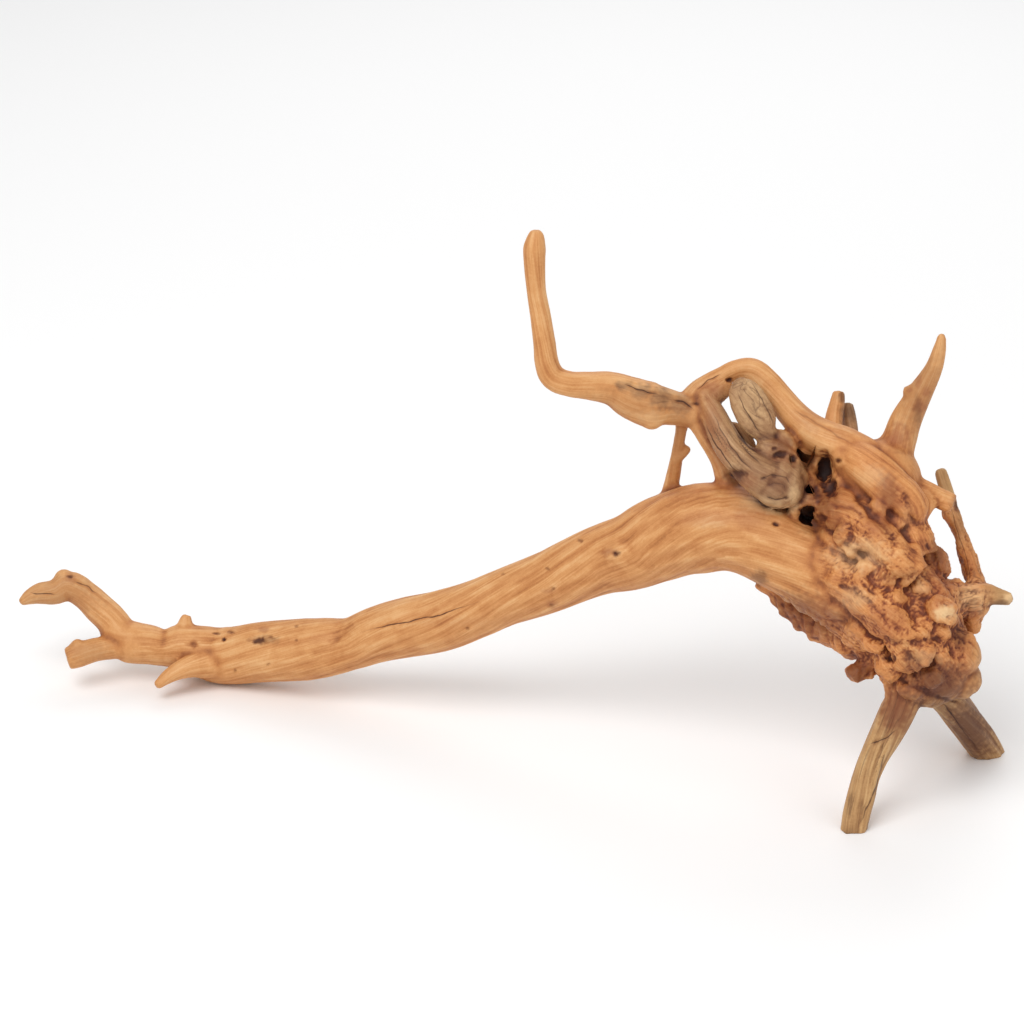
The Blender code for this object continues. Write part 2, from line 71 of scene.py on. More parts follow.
# Routes of the limbs: u, v, w and the radius there
LIMBS = {
    "main_branch": [
        (198, -62, 0, 17), (181, -51, 0, 19), (159, -35, -4, 20), (136.5, -20, -9, 20.5),
        (114, -8.7, -15, 21.5), (94, -8, -22, 22.5), (74, -13.9, -32, 21), (61, -19.5, -38, 19),
        (46, -23.4, -46, 17.1), (30.5, -29.4, -54, 16), (19, -34.4, -60, 15.2), (-4, -42.9, -72, 14.2),
        (-17, -48.2, -79, 14.4), (-36, -54.6, -89, 15), (-51, -57.6, -96, 14.8),
        (-68, -61.6, -104, 13.8), (-80.5, -65.8, -110, 12.8), (-93.5, -67.6, -115, 14.5),
        (-102.5, -68.5, -120, 15.2), (-125.5, -70, -130, 14.8), (-144.5, -71.8, -138, 14),
        (-156, -69.5, -138.5, 12.5), (-166, -67.5, -138, 11), (-174, -68, -137.5, 8.7),
        (-181, -66.5, -137, 9.6), (-191, -65, -136.5, 10.3), (-197, -63, -136.5, 8.5),
    ],
    "hooked_tip": [
        (-191, -65, -136, 9.5), (-196, -61, -136.5, 8.6), (-200, -54.5, -137, 7.5),
        (-206.6, -48, -138, 7.4), (-213.3, -41.8, -138, 6.9), (-221.5, -37.3, -137, 7.2),
        (-228.5, -40, -135, 6), (-236, -40.8, -133, 5.3), (-241.5, -42.8, -131, 3.6),
        (-246, -45.6, -130, 1.3),
    ],
    "short_tip_fork": [
        (-190, -66.5, -135, 8), (-199, -67.8, -132.5, 5.5), (-208.5, -69, -129, 5.6),
        (-217, -71.5, -126.5, 5.9), (-222.5, -73.3, -125.5, 5.2),
    ],
    "fork_prong": [(-216, -69, -126.5, 4.5), (-219.5, -65, -125.5, 2.6)],
    "tip_spur": [
        (-118, -71, -137, 8), (-132, -73, -135.5, 8.4), (-144, -74.5, -132.5, 8.4),
        (-155, -75.8, -128.5, 7), (-163.5, -78, -123.5, 4.9), (-171, -81.8, -120.5, 3.4),
        (-178, -87.2, -118, 1.9),
    ],
    "top_nub": [(-163.5, -60, -137, 5), (-163, -54, -137, 2.6), (-162.3, -51.5, -137, 1.7)],
    "arch_root": [
        (84, 50, -5, 5.5), (88, 54.5, -6, 5.5), (92, 60, -7, 4.8), (97, 64, -7, 4.4),
        (105, 68, -7, 4.5), (113, 71.3, -6.5, 4.8), (120, 70.8, -6, 5.9), (127, 65, -5, 6.4),
        (133.1, 57.7, -4, 6.7), (139.8, 49.5, -2, 7.1), (147.3, 42.1, 0, 8.1), (156.2, 36.8, 2, 8.9),
        (166.5, 31.5, 4, 10.5), (176.5, 22, 5, 14), (185, 10, 6, 17),
    ],
    "upper_arm": [
        (92, 49, -5, 7), (86, 50.8, -5, 7.6), (78, 52.6, -3.5, 8.8), (69, 53.8, -1, 11.2),
        (59.5, 57.2, 2, 10.2), (50, 61.8, 4.5, 8), (38, 63.2, 8, 6.9), (28, 64.2, 11, 6.3),
        (20.6, 67.6, 12.5, 6.2), (17.4, 74.5, 15, 5.7), (16.1, 83.5, 18, 5.3), (13.8, 98.5, 22, 4.9),
        (12, 110, 26, 4.6), (11.3, 122, 30, 5), (11.3, 132, 33, 5.3), (11.9, 138, 34.5, 3.8),
        (11.7, 140.8, 35, 2.2),
    ],
    "brace_root": [
        (90.5, 50, -4, 5.3), (95, 40.5, -5, 4.1), (99.4, 33, -7, 4), (103.9, 26, -10, 4.6),
        (107, 18.5, -14, 5.5), (110, 10, -16, 7),
    ],
    "back_twig": [
        (85.5, 47, -9, 3.2), (84.5, 40, -13, 2.6), (83.2, 33, -18, 2.6), (81.8, 24, -24, 2.9),
        (80, 15, -30, 3.2), (78.5, 7, -34, 4),
    ],
    "back_twig_prong": [(83.6, 27.5, -20, 2.2), (86.3, 30, -19, 2), (88.5, 32.6, -18, 1.6)],
    "strap_upper": [
        (94, 58, -8, 4), (97, 54.5, -4.5, 5.2), (100.5, 48.5, 0, 6), (104.5, 40, 2.5, 6.6),
        (109, 32.5, 4.5, 7.2), (115, 26, 6, 8), (121.5, 20, 7, 9.5), (128, 15.5, 8, 10.5),
    ],
    "top_spike": [
        (186, 18, 0, 14), (190, 28, 0, 10.5), (193.6, 36, 0.5, 8.1), (196.4, 44.5, 2, 7.2),
        (200.3, 52.5, 5, 6.3), (204, 59.5, 8, 5.7), (208, 66.5, 11, 4.8), (211, 73, 14, 4),
        (213.3, 81, 17, 3.1), (214.4, 86.5, 19, 2.1), (214.6, 89.3, 20, 1.4),
    ],
    "spike_nub": [(199, 60.5, 8, 3.5), (198.2, 63, 8.5, 2)],
    "twin_stub_left": [
        (161, 33, -8, 5), (160.3, 40, -12, 4.4), (161, 48, -15, 4), (162.5, 55, -17, 3.5),
        (163.3, 60.3, -18, 2.7),
    ],
    "twin_stub_right": [
        (169, 33, -14, 5), (169.3, 41, -20, 3.6), (168.6, 48, -23, 3.1), (167.6, 54, -25, 2.5),
    ],
    "side_peg": [(198, 12, 2, 7), (207, 9.4, 4, 5.6), (213.5, 6.7, 5, 4.9), (220.7, 3.8, 6, 4.5)],
    "rear_twig": [
        (231, -46, -16, 6), (231.3, -36, -17, 4.8), (229, -26, -19, 4.2), (225.3, -16.5, -22, 3.9),
        (223, -9, -24, 3.5), (220.3, -1.5, -27, 3.4), (216.8, 11, -31, 3.1),
        (214.2, 19.5, -34, 2.8), (213.7, 21.8, -34.5, 1.7),
    ],
    "right_knob": [
        (205, -45, -5, 14), (218, -45, -7, 10.5), (226, -44, -9, 9), (232.5, -44, -9.5, 9.2),
    ],
    "knob_point": [(230.5, -47, -10, 7.5), (230, -54.5, -13, 4.8), (231.2, -60.5, -13.5, 2)],
    "right_prong": [
        (234, -42, -10, 7), (240, -41.5, -10, 4.8), (246, -42.4, -9, 3.5), (249.7, -43.4, -8, 2.8),
    ],
    "front_leg": [
        (201, -68, 5, 14), (198.5, -82, 5, 9.8), (195, -94, 4, 8.8), (191, -103, 3, 8.5),
        (186.3, -112.5, 2, 7.8), (181.2, -122.5, 0.5, 6.9), (177.6, -131.5, -0.5, 6.6),
        (174.9, -141.5, -1.5, 6.9), (172.5, -150, -2, 6.6), (170.9, -158, -2.5, 6.3),
        (169.3, -167, -3, 6),
    ],
    "rear_leg": [
        (205, -70, -10, 14), (210.5, -82, -20, 10.5), (216, -91, -30, 8.8), (221.8, -98.2, -40, 8.2),
        (227.2, -105, -50.5, 8.1), (232.4, -111.6, -61, 8.1), (236.7, -118.2, -70.5, 7.6),
        (240.5, -126, -81, 7.2),
    ],
    "under_root": [
        (123, -34, -38, 3.6), (130, -37.5, -38, 4.8), (138.5, -44.5, -37, 7.2),
        (147, -50.5, -34.5, 8.8), (156, -55.5, -29, 9.6), (164, -59, -21, 10.2),
        (176.5, -62, -10, 12), (194, -66, -4, 17),
    ],
    "under_stub": [
        (184, -67, -6, 7), (178, -73.5, -5, 5), (174, -78.4, -4, 4.4), (170, -82.4, -3, 4),
    ],
    "stub_splinter": [(176, -76, -3.5, 2.5), (179.2, -80.5, -3, 1.7), (180, -83, -3, 1.2)],
    "shoulder_ridge": [
        (158, 35.5, 1, 6), (168, 30, 6, 8.5), (178, 22.5, 14, 10), (188, 13, 19, 10.5),
        (197, 4, 19, 10), (199.5, -8, 15, 8.5), (203, -20, 13, 8.5),
    ],
    "crown_band": [
        (132, -18, -14, 9), (146, -21, -4, 11.5), (159, -27, 6, 12.5), (172, -37, 18, 12),
        (184, -50, 26, 10), (195, -60, 27, 9), (206, -72, 22, 10),
    ],
    "middle_fold": [
        (150, 5, -6, 9), (158, 3, 1, 11), (167, 0, 11, 11), (178, -8, 22, 10),
        (189, -20, 26, 9), (200, -32, 24, 9),
    ],
}

# Lumps that swell the limbs: u, v, w and the radius
LUMPS = [
    (184, 16, 0, 20.5), (179, -12, 0, 27.5), (196.5, -49, 2, 27), (208, -74, 0, 23.5),
    (190, -28, -20, 24), (203, -66, -20, 20), (176, -42, -14, 19),
    (201.5, 3.5, 6, 10.5), (201, -12, 2, 7), (209.7, -27, 2, 9), (209, -43, 17, 10),
    (222.5, -36, -9, 4.5), (223.6, -72, 8, 11), (225, -83.5, 2, 10), (201, -86, 12, 9),
    (188, -76, 16, 8), (163, 12, 2, 9), (151, 4, 2, 8), (144.8, 38.5, -4, 6),
    (148, 32, -5, 7.5), (154, 24, -6, 8), (146, 20, -4, 7.5), (151, 12, -5, 8),
    (174, -58, 15, 6.5), (165, -48, 11, 6.5),
    (187, -33, 27, 6.5), (177, -28, 26, 5.5), (199, -21, 24, 6), (193, -44, 29, 6),
    (203, -55, 26, 7), (213, -60, 21, 7), (196, -73, 24, 6.5), (209, -82, 20, 7),
    (203.5, -37, 24, 4.6), (208, -40, 25, 4), (165, -12, 22, 5), (171, -18, 24, 4.5),
    (183, 2, 24, 5), (192, -6, 23.5, 4.5), (214, -70, 20, 6), (182, -66, 20, 5.5),
    (70, 47.5, 0, 6.5), (-224, -33.5, -136.5, 5), (-219, -34.5, -136.5, 4.5), (52.5, -19.5, -32, 3.5),
    (101, 58.5, -4, 4.2), (96.5, 58, -4, 5), (143.5, 2, 3, 5), (148, 14, -2, 7),
]

# The pale cut peg on the face of the crown
PEG = [(209, -46, 22, 6), (214.5, -49.5, 30, 5.6), (219, -51.5, 34, 5)]

# Flattened pieces of old wood: middle, long axis in u and v, half length, half width, half depth
PLATES = {
    "strap_plate": ((113, 33, -5), (10.4, -20), 13.5, 9.4, 3),
    "weathered_flap": ((120.3, 51.3, 7), (15, -28), 18, 10, 4.2),
    "flap_side": ((117, 45.5, 4.7), (13, -26), 8, 3, 2.8),
    "knob_cluster": ((137, 35.5, 4), (8, -9), 7.5, 4.6, 5),
    "junction_web": ((101.5, 60, -4), (10, 5.5), 10, 6.8, 3.2),
    "strap_lobe": ((133, 13.5, 9), (10, -4), 13.5, 12, 9),
    "eye_rim": ((133, 29, 7), (10, -6), 12, 6.5, 6),
    "eye_knobs": ((140, 22, 5), (6, -10), 12, 6, 6.5),
}

# Forks where the wood is parted: middle, direction of the cut's axis, and the cut's radius
FORK_CUTS = {
    "hooked_tip": ((-200.5, -52.5, -137), (-5, 8.7, -0.5), 11),
    "short_tip_fork": ((-207, -69.4, -129.7), (-9.5, -0.5, 3), 8),
    "tip_spur": ((-166, -79, -122), (-8, -2.5, 3), 5.5),
    "upper_arm": ((80, 52, -4), (-10, 1.5, 2), 12.5),
    "strap_root": ((96, 45.5, 0), (5, -8.5, 0), 14),
    "back_twig_top": ((84.2, 38, -14.5), (-1, -7, -4), 5),
    "back_twig_foot": ((80.2, 16, -29.3), (-1.7, -9, -6), 6),
    "top_spike": ((194.6, 41, 1.4), (2.5, 8.5, 1.5), 11),
    "twin_stubs": ((164.8, 47.5, -19), (0.5, 9, -3), 10),
    "side_peg": ((214.3, 6.3, 5), (7, -2.6, 1), 6.6),
    "rear_twig": ((229.3, -28, -18.6), (-2.5, 9.5, -2.5), 6.6),
    "right_knob": ((226.6, -46, -9), (10, 2, -0.5), 17.5),
    "front_leg": ((190.3, -102.5, 4), (-4, -9.5, -1), 12.5),
    "rear_leg": ((222.5, -100, -39), (5.3, -7, -9), 12),
    "under_stub": ((172.6, -79.8, -3.8), (-5, -4.9, 1), 6.4),
}

# Flat cuts: middle, direction of the cut's axis, half its length across the view, half its depth
FLAT_CUTS = {
    "crown_cut": ((151, -12, -12), (1, 0, 0), 76, 66),
    "strap_cut": ((124, 12.2, 4), (3, 9.6, 0), 30, 34),
    "lobe_cut": ((138.3, 21.8, 0), (1, 0, 0), 15.4, 22),
    "arch_foot": ((136, 39.7, 0), (7, 4.8, 0), 5.2, 22),
    "flap_cut": ((127.1, 38.3, 6), (5, -8, 0), 9.7, 10),
}

# A point inside each piece, to tell the parted lengths from one another
INSIDE = {
    "root_crown": (184, -12, 5),
    "main_branch": (19, -33.5, -60),
    "hooked_tip": (-221, -38, -137),
    "short_tip_fork": (-214, -70.5, -127.5),
    "tip_spur": (-171, -81.5, -120),
    "upper_arm": (48, 62.5, 5),
    "arch_root": (120, 72, -6),
    "strap_root": (109, 32.5, 4.5),
    "weathered_flap": (121, 50.5, 6),
    "back_twig": (81.8, 24, -24),
    "top_spike": (203, 59.5, 8),
    "twin_stub_left": (162.3, 54, -17),
    "twin_stub_right": (168, 51, -24),
    "side_peg": (218, 5, 5.6),
    "rear_twig": (220.3, -1.5, -27),
    "right_knob": (232.5, -44.5, -9.5),
    "front_leg": (177, -131.5, 1),
    "rear_leg": (229, -109, -50),
    "under_root": (138, -44.2, -37),
    "under_stub": (170.6, -81.8, -3.2),
}

# Marks on the wood, as the eye sees them

# Grooves and cracks: width, depth, darkness and their points u, v. The narrow ones are cracks
GROOVES = [
    (5.0, 0.6, 0.05, [(-79.5, -53.5), (-84, -60), (-91, -67.5), (-102.5, -72)]),
    (0.9, 0.5, 0.95, [(-75, -60), (-64, -57), (-56.5, -56), (-49, -54), (-38.5, -52), (-30.5, -49.5),
                     (-17, -45)]),
    (0.8, 0.6, 0.8, [(-241.5, -40.5), (-234, -41), (-227.5, -41)]),
    (0.9, 0.6, 0.6, [(-219.5, -34.5), (-213, -37), (-207, -41)]),
    (0.9, 0.8, 0.8, [(55, 64.5), (64, 61), (74, 58.5)]),
    (1.1, 1.0, 0.8, [(81, 56.5), (86, 55), (91, 51)]),
    (1.4, 0.3, 0.25, [(139, 52), (146, 48), (154, 43.5), (163, 38), (173, 33)]),
    (0.8, 0.4, 0.7, [(92, 61), (98, 66), (105, 69)]),
    (1.4, 0.6, 0.7, [(112, 42), (115, 37), (119, 32), (124, 28)]),
    (1.0, 0.4, 0.8, [(96, 46), (100, 37), (105, 29), (111, 22), (118, 16)]),
    (1.0, 0.4, 0.7, [(113, 60), (116, 52), (121, 44), (125, 38)]),
    (1.0, 0.4, 0.6, [(119, 66), (124, 58), (129, 49), (131, 42)]),
    (1.0, 0.6, 0.7, [(119, 11), (125, 3.5), (134, 1.5), (140, 5)]),
    (1.0, 0.5, 0.6, [(100, 51), (104, 42), (109, 33), (115, 26), (122, 19)]),
    (1.0, 0.4, 0.5, [(98, 47), (102.5, 38), (107, 29.5), (113, 22), (120, 14)]),
    (1.0, 0.5, 0.6, [(112.5, 41), (114, 35), (119, 28.5), (126, 23)]),
    (1.1, 1.2, 0.8, [(126, 7.5), (132, 6), (138.5, 7.5)]),
    (1.0, 0.5, 0.5, [(123, 15), (130, 18.5), (137, 17.5), (140.5, 12)]),
    (1.0, 0.5, 0.45, [(126, 12), (131, 14.5), (136, 13.5), (137.5, 10)]),
    (4.0, 1.6, 0.3, [(150, -2), (156, -8), (164, -14), (170, -18), (176.5, -24)]),
    (3.0, 1.2, 0.25, [(156, 6), (163, 3), (170, 2), (178, -4)]),
    (4.6, 1.5, 0.35, [(171, 9), (174, 5), (180, -1), (187, -9), (194, -17)]),
    (3.0, 1.3, 0.3, [(162, -36), (170, -39), (180, -46)]),
    (4.6, 1.6, 0.4, [(184, -32), (193, -33), (204, -29)]),
    (2.8, 1.3, 0.35, [(206.5, -14), (211, -22), (214, -30), (221.5, -44)]),
    (3.2, 1.4, 0.3, [(184, -62), (192, -65), (200, -66), (208, -63), (217, -64)]),
    (2.4, 1.6, 0.6, [(192.5, -82), (199, -87), (207, -91), (218, -94.5), (225, -96)]),
    (3.2, 1.0, 0.25, [(196, 12), (199, 4), (200, -3), (206, -10)]),
    (0.9, 0.8, 0.8, [(178, -116.5), (183.5, -114.5), (187.5, -112.5), (193.5, -108)]),
    (1.1, 0.6, 0.7, [(187, -117), (182, -137), (173, -158.5)]),
    (0.9, 0.4, 0.45, [(193, -96), (190, -106), (185, -118), (179, -135)]),
    (1.3, 1.2, 0.9, [(213, -93), (219, -100), (224, -107), (229, -114), (236, -124)]),
    (0.7, 0.5, 0.5, [(230, -40), (228, -26), (222.5, -9), (217, 9)]),
]

# Holes and dark spots: u, v, half width, half height, depth, darkness
HOLES = [
    (-126.5, -64.5, 5.0, 2.2, 0.9, 0.95), (-120, -63, 3.0, 1.0, 0.4, 0.6),
    (-143.8, -63.8, 1.3, 1.1, 1.2, 1.0), (-147.5, -60.6, 2.0, 0.7, 0.6, 0.7),
    (-140.5, -60.3, 2.0, 0.7, 0.6, 0.6), (-159.5, -66, 3.4, 2.2, 1.2, 0.12),
    (-122, -76, 1.2, 0.8, 0.4, 0.5), (-107.5, -57, 1.1, 0.7, 0.4, 0.5),
    (-107.5, -64.5, 1.0, 0.7, 0.4, 0.45), (-138.5, -79, 1.0, 0.7, 0.4, 0.45),
    (-22.5, -58, 1.2, 0.8, 0.4, 0.5), (-4.5, -31, 1.6, 0.7, 0.4, 0.6),
    (17.5, -28.5, 1.4, 0.7, 0.4, 0.55), (20.5, -38.5, 1.0, 0.7, 0.4, 0.5),
    (20, -46.5, 1.2, 0.7, 0.4, 0.5), (34.5, -14.5, 1.4, 0.7, 0.4, 0.55),
    (52.0, -20.5, 2.0, 1.5, 1.6, 0.9), (132, -6, 2.2, 1.2, 1.2, 0.8),
    (-221, -32.5, 2.0, 1.2, 0.8, 0.8), (92, 54, 2.2, 1.0, 0.8, 0.6),
    (108.5, 66, 2.0, 1.4, 1.2, 0.8), (163, 26, 1.9, 1.5, 1.5, 0.75),
    (134, 29, 5.2, 2.6, 2.6, 0.75), (140.5, 27, 2.6, 2.4, 3.0, 0.85), (131, 32, 2.0, 1.4, 1.5, 0.6),
    (137, 7, 1.6, 1.3, 1.2, 0.7), (156.5, 22, 4.5, 8.0, 4.0, 1.0), (158.5, 13, 5.0, 7.0, 3.5, 0.85),
    (153, 8, 4.5, 5.5, 1.6, 0.6), (147.5, -0.5, 5.0, 4.0, 4.0, 1.0), (154, -3, 5.0, 3.0, 1.6, 0.6),
    (189, -73.5, 4.5, 2.2, 1.8, 0.7), (126, 16.5, 2.4, 1.2, 1.0, 0.5), (113, 19, 6.0, 2.4, 1.6, 0.7),
    (223, 3.5, 2.8, 3.2, 0.6, 0.8),
]

# Small knobs that stand out: u, v, radius, height
KNOBS = [
    (52.5, -20.5, 7.0, 1.6), (208.5, -71, 2.6, 1.4), (212.5, -75.5, 2.6, 1.4), (200.5, -76, 2.6, 1.4),
    (202.5, -79.5, 2.4, 1.3), (203.5, -37, 3.0, 1.4), (206, -39.5, 2.6, 1.2), (163, 26, 4.2, 1.0),
    (136, 22, 4.0, 1.0), (143, 20, 3.4, 1.0), (141, 15.5, 3.0, 0.9),
]

# Tints of each kind: u, v, half width, half height, strength. They are the wood's own stains and
# pale places, with painted shade and painted highlight among them
TINTS = {
    "dark": [
        # Painted shade on the underside, where the light from above falls least: the rows at (140,
        # -50), (213, -86), (200, -74), (216, -98), (228, -110), (172, -80), (150, -54), (192, -100)
        # and (150, -58)
        (188, 9, 6, 11, 0.3), (224, -61.5, 5, 9, 0.5), (213, -20, 6, 11, 0.45),
        (136, 36, 7, 7, 0.5), (154, 8, 11, 15, 0.5), (156, -7, 13, 6, 0.4), (140, -50, 18, 12, 0.4),
        (195, -33, 12, 5, 0.35), (225, 3, 3.5, 4, 0.6), (147, 24, 5, 6, 0.6),
        (203, 51, 2.2, 9, 0.4), (165, 58, 2.2, 4, 0.7), (168, 50, 5, 7, 0.6), (112, 18, 6, 6, 0.6),
        (124, -33, 5, 5, 0.6), (-124, -64, 9, 2.6, 0.45), (213, -86, 19, 13, 0.7),
        (200, -74, 7, 7, 0.45), (216, -98, 9, 9, 0.45), (228, -110, 16, 20, 0.72),
        (172, -80, 9, 8, 0.5), (170, -163, 5, 5, 0.45), (150, -54, 26, 12, 0.3),
        (133, 10, 12, 9, 0.3), (192, -100, 9, 12, 0.35), (150, -58, 24, 8, 0.25),
        (179, -95, 6, 4, 0.3), (244, -46, 5, 3, 0.6),
    ],
    "red": [
        # Painted shade on the underside: the rows at (228, -110), (213, -84), (172, -79), (150, -52),
        # (192, -98) and (205, -89)
        (133, 12, 12, 9, 0.3), (228, -110, 16, 20, 0.7), (213, -84, 21, 14, 0.7),
        (172, -79, 9, 9, 0.9), (-124, -58.8, 4, 1.6, 0.7), (-221, -33, 4, 3, 0.5),
        (207, 60, 2.5, 3, 0.7), (198.5, 61, 2, 2, 0.7), (204, 53, 4, 4, 0.7),
        (48, -20, 5, 2.5, 0.7), (20, -46, 3, 2.5, 0.6), (18, -39, 4, 1.5, 0.5),
        (-30, -55, 30, 3, 0.2), (100, -4, 16, 5, 0.3), (120, -3, 12, 6, 0.4), (85, 9, 12, 4, 0.4),
        (164, 40, 9, 4, 0.3), (214, -28, 7, 16, 0.8), (158, 4, 12, 14, 0.6),
        (150, -52, 24, 13, 0.7), (100, 45, 5, 16, 0.5), (112, 15, 12, 7, 0.7), (188, 8, 8, 13, 0.7),
        (183, -4, 7, 10, 0.6), (192.5, 37.5, 7, 8, 0.8), (230.5, -50, 4, 4, 0.6),
        (192, -98, 10, 13, 0.8), (205, -89, 14, 5, 0.9), (104, 29, 6, 14, 0.5),
        (101, 61, 8, 5, 0.5), (150, 47, 9, 9, 0.4), (215, -40, 8, 14, 0.6), (165, 8, 12, 12, 0.4),
        (186, -56, 12, 9, 0.5), (224, -76, 8, 14, 0.5), (203, 66, 2, 5, 0.6), (223, 4, 4, 5, 0.9),
        (137, 31, 10, 9, 0.6),
    ],
    "worn": [
        (223, -10, 4, 12, 0.4), (56, 63, 5, 3, 0.8), (65, 60.5, 6, 4, 0.9), (75, 57, 7, 6, 0.9),
        (84, 54, 7, 6, 0.8),
    ],
    "tan": [
        (204, 60, 14, 32, 0.8), (-226, -42, 24, 14, 0.7), (62, 55, 26, 9, 0.5),
        (192, -100, 12, 16, 0.9), (-212, -70, 14, 7, 0.6), (84, 40, 8, 30, 0.6),
    ],
    "pale": [
        # Partly the wood's own pale places, such as the cut peg at (216.5, -50.5), and partly painted
        # highlight
        (173, -22, 16, 9, 0.6), (216.5, -50.5, 6, 4.5, 0.9), (230, -42, 8, 8, 0.5),
        (120, 55, 9, 14, 0.3), (141, 8, 3, 8, 0.7), (133, 1.5, 9, 3, 0.7), (206, -73, 9, 5, 0.25),
        (204, -38, 5, 4, 0.35), (124, 4, 14, 5, 0.4), (172, -43, 9, 6, 0.4), (180, 18, 9, 6, 0.3),
        (197, -4, 4, 8, 0.15), (248, -43, 3, 3, 0.8), (70, 47, 8, 4, 0.3),
    ],
}

# The kind of each limb's wood, where it isn't peeled wood
WORN = ("strap_upper", "twin_stub_right")
BURL = (
    "under_root", "under_stub", "stub_splinter", "shoulder_ridge", "crown_band", "middle_fold",
)
DULL = ("rear_twig", "right_knob", "knob_point", "right_prong", "front_leg", "rear_leg")
KINDS = ("peeled", "worn", "burl", "dull")

# How finely the limbs and lumps are made before they are fused
TUBE_ROUNDNESS = 6
STEPS_BETWEEN_POINTS = 6
BALL_DETAIL = 4
WELD_DISTANCE = 0.000001

# The skin's first grid, on which the deep relief is carved, and its last one, with the rounds
# of softening that follow each
CARVING_GRID = 1.1
CARVING_ROUNDS = 1
SKIN_GRID = 0.87
SKIN_ROUNDS = 2
SOFTENING = 0.5

# What the fusing and softening take off a radius
LOST_TO_SOFTENING = 0.5
# How far from a limb its grain reaches, and over how far one grain gives way to the next
GRAIN_REACH = 30.0
GRAIN_BLEND = 2.2
# Over how far one kind of wood gives way to the next, and the distances between which it counts
KIND_BLEND = 3.0
KIND_REACH = (-9.0, 60.0)

# Noise is read from a repeating table of this many slopes
TABLE_SIZE = 256
TABLE_SEED = 7
SEED_SPACING = 17.31
NOISE_GAIN = 1.6
BILLOW_GAIN = 2.0

# The grain: how fast it turns about its limb, its steps between the route's rows, and how far
# apart two limbs' grains lie in the pattern
GRAIN_TWIST = 0.012
STEPS_IN_GRAIN = 3
GRAIN_SPACING = 41.7
# How much closer one limb is than the next where its fine threads start to show, and in full
HOLD_START = 0.3
HOLD_FULL = 3.0
# Below this share the second limb's grain isn't read
LEAST_SHARE = 0.01
# The distance of a limb that isn't there, and what keeps a sum above nought
NO_LIMB = 1e6
TINY = 1e-9

# Grooves narrower than this are cracks, drawn finer than the skin's faces
WIDEST_CRACK = 1.5
FAR_FROM_CRACK = 9.0

# How the marks wander: size of the wandering, its seeds, and how far it moves them
WANDER = (5.0, (3, 4))
FINE_WANDER = (1.6, (5, 6))
WANDER_REACH = 0.7
FINE_WANDER_REACH = 0.35
CALM_REACH = 0.6
# What makes the marks' edges ragged and crumbling: size along each axis, and seed
RAGGED = ((2.2, 2.2, 2.2), 8)
CRUMBS = ((1.0, 1.0, 1.0), 9)
# Between these slopes towards the eye the marks fade in
FACING = (-0.05, 0.25)
# Grooves: how far they are looked for in widths, half width and raggedness in shares of the
# width, the least half width, the share of the length over which they thin towards their ends,
# and what is left of their width and depth there
GROOVE_MARGIN = 3.0
GROOVE_HALF = 0.45
GROOVE_RAGGEDNESS = 0.2
LEAST_GROOVE = 0.2
GROOVE_TAPER = 0.14
GROOVE_END_WIDTH = 0.45
GROOVE_END_DEPTH = 0.3
# Cracks: the same, and the distances between which they fade out
CRACK_MARGIN = 4.0
CRACK_HALF = 0.5
CRACK_RAGGEDNESS = 0.25
LEAST_CRACK = 0.15
CRACK_TAPER = 0.25
CRACK_END_WIDTH = 0.4
CRACK_END_DEPTH = 0.15
CRACK_FADE = (2.6, 1.3)
# Edges of the round marks, in shares of their half sizes, from nothing to full
HOLE_EDGE = (1.3, 0.2)
HOLE_SHADE_EDGE = (1.2, 0.4)
KNOB_EDGE = (1.2, 0.2)
TINT_EDGE = (1.3, 0.3)
HOLE_RAGGEDNESS = 0.28
HOLE_CRUMBLING = 0.14
TINT_RAGGEDNESS = 0.35
# How far round marks are looked for, in their half sizes
OVAL_REACH = 2.0

# Patterns of the relief: size in millimetres along each axis, and seed. The ones of the grain
# have the limb's length as their last axis
FOLDS = ((8, 8, 26), 14)
KNOTS = ((8, 8, 8), 15)
FLUTES = ((5.5, 5.5, 55), 16)
SWELL = ((12, 12, 26), 17)
LUMPY = ((3.6, 3.6, 3.6), 18)
KNOT_PATCHES = ((20, 20, 20), 19)
RIBS = ((3.4, 3.4, 3.4), 20)
FIBRES = ((2.8, 2.8, 40), 21)
BANDS = ((4.5, 4.5, 60), 23)
CHECKS = ((2.8, 2.8, 80), 24)
NARROW_FLUTES = ((3.4, 3.4, 60), 25)
AGED_PATCHES = ((14, 14, 14), 31)
PIMPLES = ((2.3, 2.3, 2.8), 35)
GRIT = ((1.4, 1.4, 1.4), 36)
# Patterns that bend the others or move the crown's surface sideways: size and three seeds
FOLD_WARP = (16, (11, 12, 13))
CROWN_SHIFT = (8, (26, 27, 28))
WIDE_CROWN_SHIFT = (16, (29, 30, 37))
PIMPLE_WARP = (7, (32, 33, 34))
# How far they do, in millimetres
KNOT_BEND = 5
LUMPY_BEND = 3
RIB_BEND = (1.6, 0.4, 0.4)
PIMPLE_BEND = 2.5
CROWN_SHIFT_REACH = 1.7
WIDE_CROWN_SHIFT_REACH = 1.8
# The ribs are long in v: how much their pattern is squeezed in u, v and w
RIB_SQUEEZE = (1.0, 0.16, 0.35)

# Heights of the deep relief in millimetres; billows rise and sink about their mean
FLUTE_HEIGHT = 0.4
DULL_FLUTE_HEIGHT = 0.5
DULL_NARROW_HEIGHT = 0.7
SWELL_HEIGHT = 0.45
FOLD_HEIGHT = 1.2
KNOT_HEIGHT = 1.1
LUMPY_HEIGHT = 0.9
RIB_HEIGHT = 1.9
RIB_LUMPY_HEIGHT = 0.8
BILLOW_MEAN = 0.4
RIB_MEAN = 0.6
# How much of the crown's relief the other burl wood has
BURL_SHARE = 0.35
